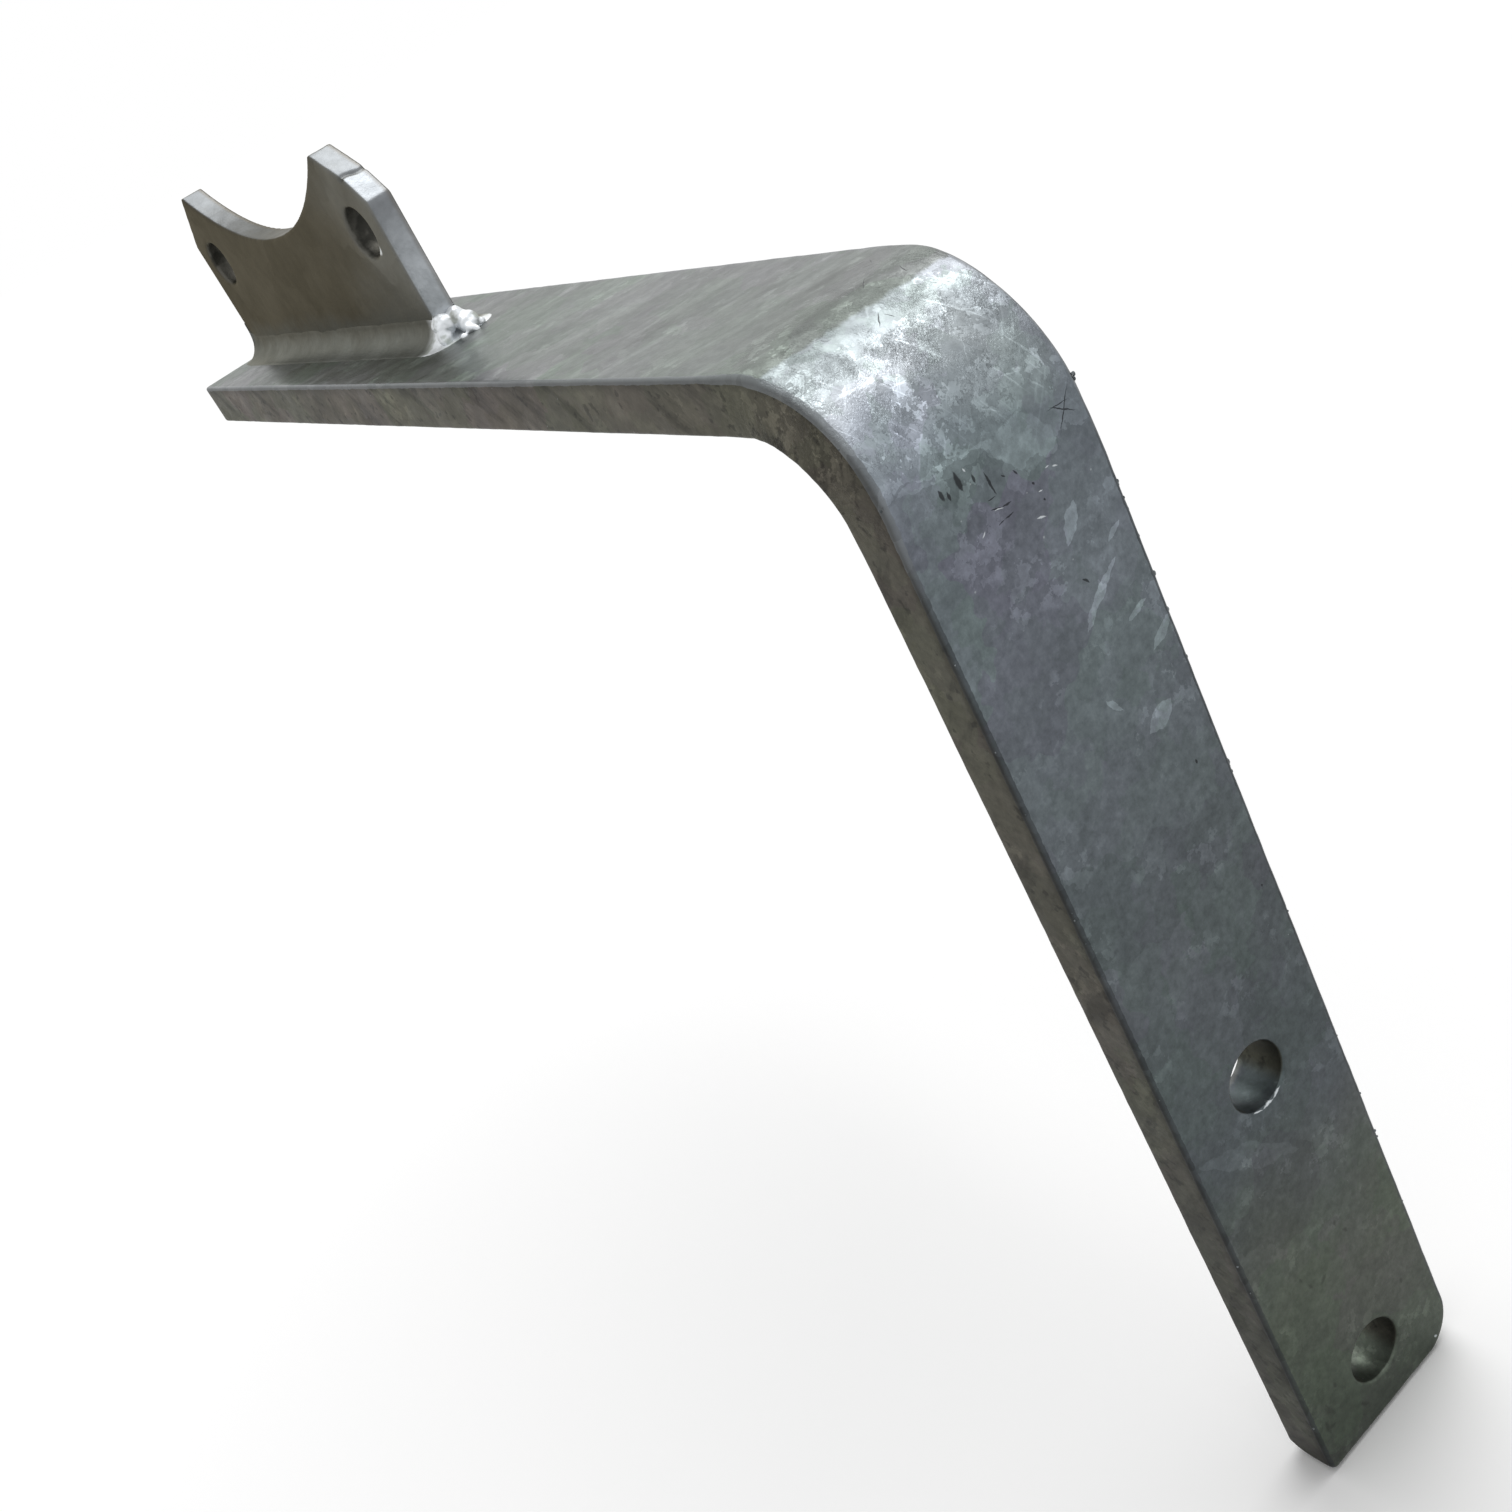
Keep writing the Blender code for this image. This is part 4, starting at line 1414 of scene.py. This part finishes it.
def arm_runs(tree, spot):
    """Pale diagonal runs on the arm's top, some broad and some fine."""
    broad = streaks(tree, spot.place, RUN_TURN, 0.0060, 0.14, 0.46, 0.70)
    fine = streaks(tree, spot.place, RUN_TURN, 0.0016, 0.07, 0.60, 0.72)
    on_arm = invert(tree, rise(tree, spot.along, 0.258, 0.266))
    return multiply(tree, on_arm, calculate(tree, "ADD", broad, multiply(tree, fine, 0.35)))


def bend_hairs(tree, spot):
    """Fine bright scratches that cross on the bend."""
    hairs = calculate(tree, "MAXIMUM", streaks(tree, spot.place, 25, 0.0009, 0.07, 0.60, 0.70),
                      streaks(tree, spot.place, -40, 0.0010, 0.09, 0.61, 0.71))
    return multiply(tree, hairs, spot.strain, rise(tree, spot.edge, 0.001, 0.002))


# %% [markdown]
# ## The bar's edges
#
# The long edges of the outer face carry a narrow lip, whose colour is painted light: a painted highlight
# along the arm, and wider round the bend, where it is broken into segments, and a dark line of painted shade
# down the leg. The sides are darker just under it, which is painted shade too.

# %% Lip along the edges
# The lip's tones are painted light: a painted highlight along the arm and round the bend, and painted shade
# down the leg.
LIP_HIGHLIGHT_TONE = (0.19, 0.205, 0.215)
LEG_LIP_SHADE_TONE = (0.045, 0.050, 0.054)
LIP_WIDTHS = (0.0009, 0.0021)
LIP_DEPTH = 0.0016
LIP_STRENGTH = 0.72


def lip_mask(tree, spot):
    """Where the lip lies: within an uneven distance of a long edge of the outer face."""
    uneven = calculate(tree, "ADD", spot.edge, mottle(tree, spot.place, 0.0016, -0.0003, 0.0003))
    lip = calculate(tree, "LESS_THAN", uneven, rescale(tree, spot.strain, *LIP_WIDTHS))
    on_long_edge = rise(tree, calculate(tree, "ABSOLUTE", spot.across), 0.0165, 0.0175)
    on_face = calculate(tree, "LESS_THAN", spot.depth, LIP_DEPTH)
    return multiply(tree, lip, on_face, on_long_edge, LIP_STRENGTH)


def paint_lip_highlight_and_shade(tree, tone, spot, mask):
    """The tone with the lip's painted highlight and shade on it, and the painted shade of the strip under it.
    """
    segments = use_group(tree, crystals, Place=spot.place, Size=0.0034, Wander=0.3)["Shade"]
    segments = rescale(tree, segments, 0.62, 1.18)
    segments = mix_values(tree, rise(tree, spot.along, 0.250, 0.265), 0.92, segments)
    # Painted highlight on the arm and the bend, painted shade on the leg.
    lip = blend(tree, rise(tree, spot.along, 0.292, 0.312), LIP_HIGHLIGHT_TONE, LEG_LIP_SHADE_TONE)
    tone = blend(tree, mask, tone, scale_colour(tree, lip, segments))
    # Painted shade: the sides darken just under the lip.
    under = multiply(tree, spot.side, invert(tree, rise(tree, spot.depth, 0.0006, 0.0030)))
    return shade_by(tree, tone, under, 1.0, 0.72)


# %% [markdown]
# ## The bar's finish
#
# The finish puts the tones, patterns, marks and edges together. A material that holds every mark of
# the bar is very large, and a graphics program may fail to draw it. So the bar has three materials
# from one function, for the arm, the bend and the leg, and each one draws only the marks near it.
# The patterns are the same in all three, so no line shows where they meet.

# %% Material: the bar
ZONES = {"bar zinc arm": (0, 236), "bar zinc bend": (236, 312), "bar zinc leg": (312, 510)}
LARGE_CRYSTAL = 0.019
SMALL_CRYSTAL = 0.0068
BRIGHT_SPECK_TONE = (0.36, 0.39, 0.40)
DARK_SPECK_TONE = (0.025, 0.026, 0.025)
BAR_BUMP = 0.00007


def paint_marks(tree, tone, spot, zone):
    """The tone with the measured marks and the scattered specks on it; the glints among the marks are painted
    highlights.
    """
    places = {name: wander(tree, spot.place, *reach) for name, reach in OUTLINES.items()}
    for marks, outline, softness, factor in SHADING_MARKS:
        mask = draw_marks(tree, places[outline], spot.depth, marks, softness, zone)
        tone = shade_by(tree, tone, mask, 1.0, factor)
    bright = use_group(tree, specks, Place=spot.place, Spacing=0.0034, Radius=0.085, Share=0.30)["Mask"]
    dark = use_group(tree, specks, Place=spot.place, Spacing=0.0058, Radius=0.06, Share=0.18)["Mask"]
    tone = paint(tree, tone, bright, 0.60, BRIGHT_SPECK_TONE)
    tone = paint(tree, tone, dark, 0.7, DARK_SPECK_TONE)
    for marks, outline, softness, strength, colour in PAINTED_MARKS:
        mask = draw_marks(tree, places[outline], spot.depth, marks, softness, zone)
        tone = paint(tree, tone, mask, strength, colour)
    return tone


def bar_bump(tree, spot):
    """Height of the grain, with sharp crinkles where the bend's coating cracked."""
    crinkle = cloud(tree, vector_math(tree, "MULTIPLY", spot.place, (1.0, 1.5, 1.0)), 0.0016, 4.0, 0.65)
    ridge = calculate(tree, "ABSOLUTE", calculate(tree, "SUBTRACT", crinkle, 0.5))
    crinkled = multiply(tree, spot.strain, patches(tree, spot.place, 0.008, 0.38, 0.60, 2.0))
    grain = use_group(tree, zinc_grain, Place=spot.place, Size=0.0007, Coarseness=0.65)["Height"]
    return calculate(tree, "SUBTRACT", multiply(tree, grain, 0.4), multiply(tree, ridge, crinkled, 12.0))


def bar_finish(name, zone):
    """Hot-dip zinc on one zone of the bar, from one place to another along it in millimetres."""
    material, tree, shader = start_material(name)
    spot = read_bar(tree)
    large = use_group(tree, crystals, Place=spot.place, Size=LARGE_CRYSTAL, Wander=0.7)
    small = use_group(tree, crystals, Place=spot.place, Size=SMALL_CRYSTAL, Wander=0.9)
    shade = multiply(tree, bar_shade(tree, spot, large, small), bend_flakes(tree, spot),
                     side_smears(tree, spot))
    tone = scale_colour(tree, bar_tone(tree, spot), shade)
    tint = multiply(tree, calculate(tree, "SUBTRACT", large["Tint"], 0.5),
                    mix_values(tree, spot.strain, 1.0, 0.25))
    tint = calculate(tree, "ADD", tint, 0.5)
    tone = tint_by(tree, tone, tint, (0.94, 1.03, 0.96), (1.03, 0.98, 1.06))
    tone = tint_by(tree, tone, small["Tint"], (0.98, 1.01, 0.98), (1.01, 0.99, 1.02))
    tone = shade_by(tree, tone, arm_runs(tree, spot), 0.94, 1.26)
    tone = shade_by(tree, tone, bend_hairs(tree, spot), 1.0, 1.45)
    tone = paint_marks(tree, tone, spot, zone)
    lip = lip_mask(tree, spot)
    # The lip's painted highlight and shade, and the painted shade under it.
    tone = paint_lip_highlight_and_shade(tree, tone, spot, lip)
    rough = mottle(tree, spot.place, 0.004, 0.32, 0.48)
    rough = calculate(tree, "ADD", rough, rescale(tree, small["Shade"], -0.05, 0.05))
    rough = calculate(tree, "ADD", rough, multiply(tree, spot.side, 0.12))
    rough = calculate(tree, "SUBTRACT", rough, multiply(tree, lip, 0.10))
    finish_zinc(tree, shader, tone, rough)
    add_bump(tree, shader, bar_bump(tree, spot), BAR_BUMP)
    return material


dress(bar, [bar_finish(name, zone) for name, zone in ZONES.items()])
bar_alongs = unbend(np.array([tuple(face.center) for face in bar.data.polygons]))[:, 0] / MILLIMETRE
bar_zones = np.digitize(bar_alongs, [zone[0] for zone in ZONES.values()]) - 1
bar_zones = np.clip(bar_zones, 0, len(ZONES) - 1)
bar.data.polygons.foreach_set("material_index", bar_zones.astype(np.int32))
print("faces in each zone of the bar", np.bincount(bar_zones).tolist())

# %% [markdown]
# ## The plate's finish
#
# The plate's faces are a darker, browner grey than the bar, and cooler towards the bend. Its cut edges and
# the notch took a thicker, cleaner coat, so they are pale, and a dark line runs along each edge. The strap
# holes are dark inside, apart from one bright spot in the hole nearer the bend, which is a painted highlight.

# %% Material: the saddle plate
PLATE_TONE = (0.076, 0.070, 0.056)
PLATE_COOL_TONE = (0.142, 0.144, 0.134)
CUT_TONE = (0.40, 0.425, 0.45)
FOOT_TONE = (0.104, 0.108, 0.101)
EDGE_LINE_TONE = (0.05, 0.05, 0.046)
BACK_EDGE_TONE = (0.13, 0.11, 0.085)
HOLE_TONE = (0.105, 0.102, 0.090)
DARK_HOLE_TONE = (0.034, 0.034, 0.030)
NICK_TONE = (0.05, 0.052, 0.05)
# A painted highlight: a bright spot in the strap hole nearer the bend.
DROP_HIGHLIGHT_PLACE = (-0.1622, -0.0026, 0.2092)
DROP_HIGHLIGHT_TONE = (0.80, 0.83, 0.85)
FINE_BUMP = 0.00005


def plate_face_tone(tree, place, x, z):
    """The dull faces: warm and dark at the free end, cooler towards the bend and at the foot."""
    large = use_group(tree, crystals, Place=place, Size=0.016, Wander=0.6)
    shade = multiply(tree, rescale(tree, large["Shade"], 0.88, 1.12),
                     mottle(tree, place, 0.011, 0.60, 1.40, 5.0, 0.6),
                     mottle(tree, place, 0.0015, 0.84, 1.16, 3.0, 0.6))
    to_bend = rise(tree, calculate(tree, "ADD", x, mottle(tree, place, 0.02, -0.03, 0.03)),
                   PLATE_MIDDLE + 0.01, PLATE_MIDDLE + 0.07)
    tone = scale_colour(tree, blend(tree, to_bend, PLATE_TONE, PLATE_COOL_TONE), shade)
    height = calculate(tree, "ADD", z, mottle(tree, place, 0.010, -0.004, 0.004))
    at_foot = invert(tree, rise(tree, height, ARM_TOP + 0.0035, ARM_TOP + 0.0100))
    return blend(tree, at_foot, tone, FOOT_TONE)


def plate_finish():
    """Hot-dip zinc on the plate: dull faces and pale cut edges."""
    material, tree, shader = start_material("plate zinc")
    place = add(tree, "ShaderNodeTexCoord", {}, output="Object")
    x, y, z = split(tree, place)
    cut = read(tree, "cut_face")
    cut_shade = multiply(tree, mottle(tree, place, 0.0045, 0.70, 1.30, 4.0),
                         mottle(tree, place, 0.0012, 0.88, 1.12, 2.0), read(tree, "cleanness"))
    cut_tone = scale_colour(tree, CUT_TONE, cut_shade)
    tone = blend(tree, cut, plate_face_tone(tree, place, x, z), cut_tone)
    edge = calculate(tree, "ADD", read(tree, "edge_share"), mottle(tree, place, 0.0012, -0.2, 0.2, 2.0))
    tone = paint(tree, tone, rise(tree, edge, 0.55, 0.95), 0.35, EDGE_LINE_TONE)
    tone = paint(tree, tone, multiply(tree, rise(tree, y, 0.0014, 0.0024), cut), 0.45, BACK_EDGE_TONE)
    hole_tone = blend(tree, patches(tree, place, 0.0050, 0.42, 0.60), HOLE_TONE, DARK_HOLE_TONE)
    tone = paint(tree, tone, read(tree, "in_hole"), 0.85, hole_tone)
    tone = paint(tree, tone, read(tree, "nick"), 0.75, NICK_TONE)
    # Painted highlight: the bright spot in the strap hole.
    to_drop_highlight = vector_math(tree, "DISTANCE", place, DROP_HIGHLIGHT_PLACE, "Value")
    tone = blend(tree, rise(tree, to_drop_highlight, 0.0017, 0.0011), tone, DROP_HIGHLIGHT_TONE)
    rough = mottle(tree, place, 0.003, 0.40, 0.56)
    finish_zinc(tree, shader, tone, calculate(tree, "SUBTRACT", rough, multiply(tree, cut, 0.08)))
    shader["Specular Tint"].default_value = GRAZING_TINT
    grain = use_group(tree, zinc_grain, Place=place, Size=0.0007, Coarseness=0.65)["Height"]
    height = calculate(tree, "ADD", grain, cloud(tree, place, 0.0025, 3.0, 0.6))
    add_bump(tree, shader, height, FINE_BUMP)
    return material


dress(plate, [plate_finish()])

# %% [markdown]
# ## The weld's finish
#
# The hollow sides take the plate's dull tone at the top and the arm's at the toe, with the same
# streaks, so that the eye finds no line. The lumps are bright, because thick zinc ran down and froze
# on them.

# %% Material: the weld
WELD_MIDDLE_TONE = (0.160, 0.172, 0.166)
WELD_TOE_TONE = (0.200, 0.214, 0.208)
LUMP_TONE = (0.76, 0.79, 0.82)
LUMP_LIGHTER = 3.2


def weld_finish():
    """Hot-dip zinc on the weld."""
    material, tree, shader = start_material("weld zinc")
    place = add(tree, "ShaderNodeTexCoord", {}, output="Object")
    rough_end = read(tree, "rough_end")
    height = calculate(tree, "ADD", read(tree, "foot_height"), mottle(tree, place, 0.008, -0.0022, 0.0022))
    tone = blend(tree, rise(tree, height, -0.0010, 0.0014), WELD_TOE_TONE, WELD_MIDDLE_TONE)
    tone = blend(tree, rise(tree, height, 0.0010, 0.0050), tone, FOOT_TONE)
    tone = shade_by(tree, tone, streaks(tree, place, RUN_TURN, 0.0050, 0.2, 0.44, 0.66), 0.94, 1.12)
    lump_tone = blend(tree, patches(tree, place, 0.0030, 0.34, 0.48),
                      scale_colour(tree, tone, LUMP_LIGHTER), LUMP_TONE)
    tone = blend(tree, rough_end, tone, lump_tone)
    tone = scale_colour(tree, tone, mottle(tree, place, 0.0012, 0.85, 1.15))
    rough = mottle(tree, place, 0.002, 0.36, 0.50)
    finish_zinc(tree, shader, tone, calculate(tree, "ADD", rough, multiply(tree, rough_end, 0.08)))
    shader["Specular Tint"].default_value = GRAZING_TINT
    grain = use_group(tree, zinc_grain, Place=place, Size=0.0008, Coarseness=0.6)["Height"]
    add_bump(tree, shader, grain, FINE_BUMP)
    return material


dress(weld, [weld_finish()])

# %% [markdown]
# The pips are mottled from dark to pale, so that each one differs, and a little glossier than the bar.

# %% Material: the pips
PIP_TONES = ((0.060, 0.068, 0.072), (0.22, 0.24, 0.25))


def pip_finish():
    """Small zinc drops, mottled from dark to pale."""
    material, tree, shader = start_material("pip zinc")
    place = add(tree, "ShaderNodeTexCoord", {}, output="Object")
    tone = blend(tree, patches(tree, place, 0.0022, 0.42, 0.62), *PIP_TONES)
    finish_zinc(tree, shader, tone, mottle(tree, place, 0.002, 0.26, 0.42))
    return material


pips = run_tree("zinc_pips", pip_places, pip_spots[:, 2], pip_ups, lumps,
                {"Smallest": 0.75, "Largest": 1.0, "Slimmest": 0.5, "Flatness": 0.55, "Seed": 8,
                 "Detail": 2, "Material": pip_finish()})
pips.data.shade_smooth()
report(pips)

# %% [markdown]
# ## Floor, light and camera
#
# The bracket stands on the end of its leg on a pale floor. A large soft sun stands for a wide lamp overhead:
# the bend mirrors it as a bright band, over the highlight painted into the bend's tone. The world adds even
# light from all round, and rays that come from the camera or from a shiny surface see it as a plain pale
# background. The floor looks brighter to the camera than it is to the light, so that it meets the background
# without a line.

# %% Floor
FLOOR_SIZE = 12.0
FLOOR_TONE = 0.86
FLOOR_UNEVENNESS = 0.01
FLOOR_GAP = 0.0002
SEEN_BRIGHTER = 0.16


def make_floor():
    """A large pale floor just under the leg's end."""
    half = FLOOR_SIZE / 2
    height = LEG_END - FLOOR_GAP
    corners = [(-half, -half, height), (half, -half, height), (half, half, height), (-half, half, height)]
    floor = new_object("floor", mesh_from("floor", corners, [(0, 1, 2, 3)]))
    material, tree, shader = start_material("pale floor")
    place = add(tree, "ShaderNodeTexCoord", {}, output="Object")
    darkest, palest = FLOOR_TONE - FLOOR_UNEVENNESS, FLOOR_TONE + FLOOR_UNEVENNESS
    tone = mottle(tree, place, 0.4, darkest, palest, 2.0)
    seen = add(tree, "ShaderNodeLightPath", {}, output="Is Camera Ray")
    tone = calculate(tree, "ADD", tone, multiply(tree, seen, SEEN_BRIGHTER))
    feed(tree, shader["Base Color"], add(tree, "ShaderNodeCombineColor", {0: tone, 1: tone, 2: tone}))
    shader["Roughness"].default_value = 0.9
    shader["Specular IOR Level"].default_value = 0.0
    floor.data.materials.append(material)
    return floor


floor = make_floor()
if floor.data.polygons[0].normal.z < 0:
    floor.data.flip_normals()

# %% World and sun
AMBIENT = 0.50
BACKDROP = 1.0
SUN_DIRECTION = Vector((-0.20, 0.36, 0.91))
SUN_ANGLE = 50
SUN_STRENGTH = 1.75


def make_world():
    """Even light, seen as a pale backdrop by camera rays and by reflections."""
    world = bpy.data.worlds.new("soft light")
    world.use_nodes = True
    bpy.context.scene.world = world
    tree = world.node_tree
    path = tree.nodes.new("ShaderNodeLightPath")
    seen = calculate(tree, "MAXIMUM", path.outputs["Is Camera Ray"], path.outputs["Is Glossy Ray"])
    seen = calculate(tree, "MAXIMUM", seen, path.outputs["Is Transmission Ray"])
    sky = tree.nodes["Background"]
    sky.inputs["Color"].default_value = (1.0, 1.0, 1.0, 1.0)
    feed(tree, sky.inputs["Strength"], mix_values(tree, seen, AMBIENT, BACKDROP))


def make_sun():
    """The wide overhead lamp."""
    lamp = bpy.data.lights.new("wide overhead lamp", "SUN")
    lamp.energy = SUN_STRENGTH
    lamp.angle = math.radians(SUN_ANGLE)
    item = bpy.data.objects.new("wide overhead lamp", lamp)
    item.rotation_euler = SUN_DIRECTION.to_track_quat("Z", "Y").to_euler()
    bpy.context.scene.collection.objects.link(item)


make_world()
make_sun()

# %% [markdown]
# The camera's place and lens were worked out from the straight edges of the bar and the bend's curve.

# %% Camera
CAMERA_PLACE = (0.19227, -0.13747, 0.25436)
CAMERA_TURN = (60.3515, 25.5182, 52.7343)
CAMERA_LENS = 41.62


def make_camera():
    """A camera at the photograph's angle."""
    data = bpy.data.cameras.new("camera")
    data.lens = CAMERA_LENS
    data.sensor_width = 36.0
    data.clip_start = 0.01
    data.clip_end = 50.0
    item = bpy.data.objects.new("camera", data)
    item.location = CAMERA_PLACE
    item.rotation_euler = [math.radians(angle) for angle in CAMERA_TURN]
    bpy.context.scene.collection.objects.link(item)
    bpy.context.scene.camera = item


make_camera()
bpy.context.scene.view_settings.view_transform = "Standard"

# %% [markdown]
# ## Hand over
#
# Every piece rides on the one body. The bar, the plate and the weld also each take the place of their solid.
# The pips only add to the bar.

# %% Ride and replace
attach(bar, "root")
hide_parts("bent_bar")
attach(plate, "root")
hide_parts("saddle_plate")
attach(weld, "root")
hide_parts("weld_bead")
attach(pips, "root")
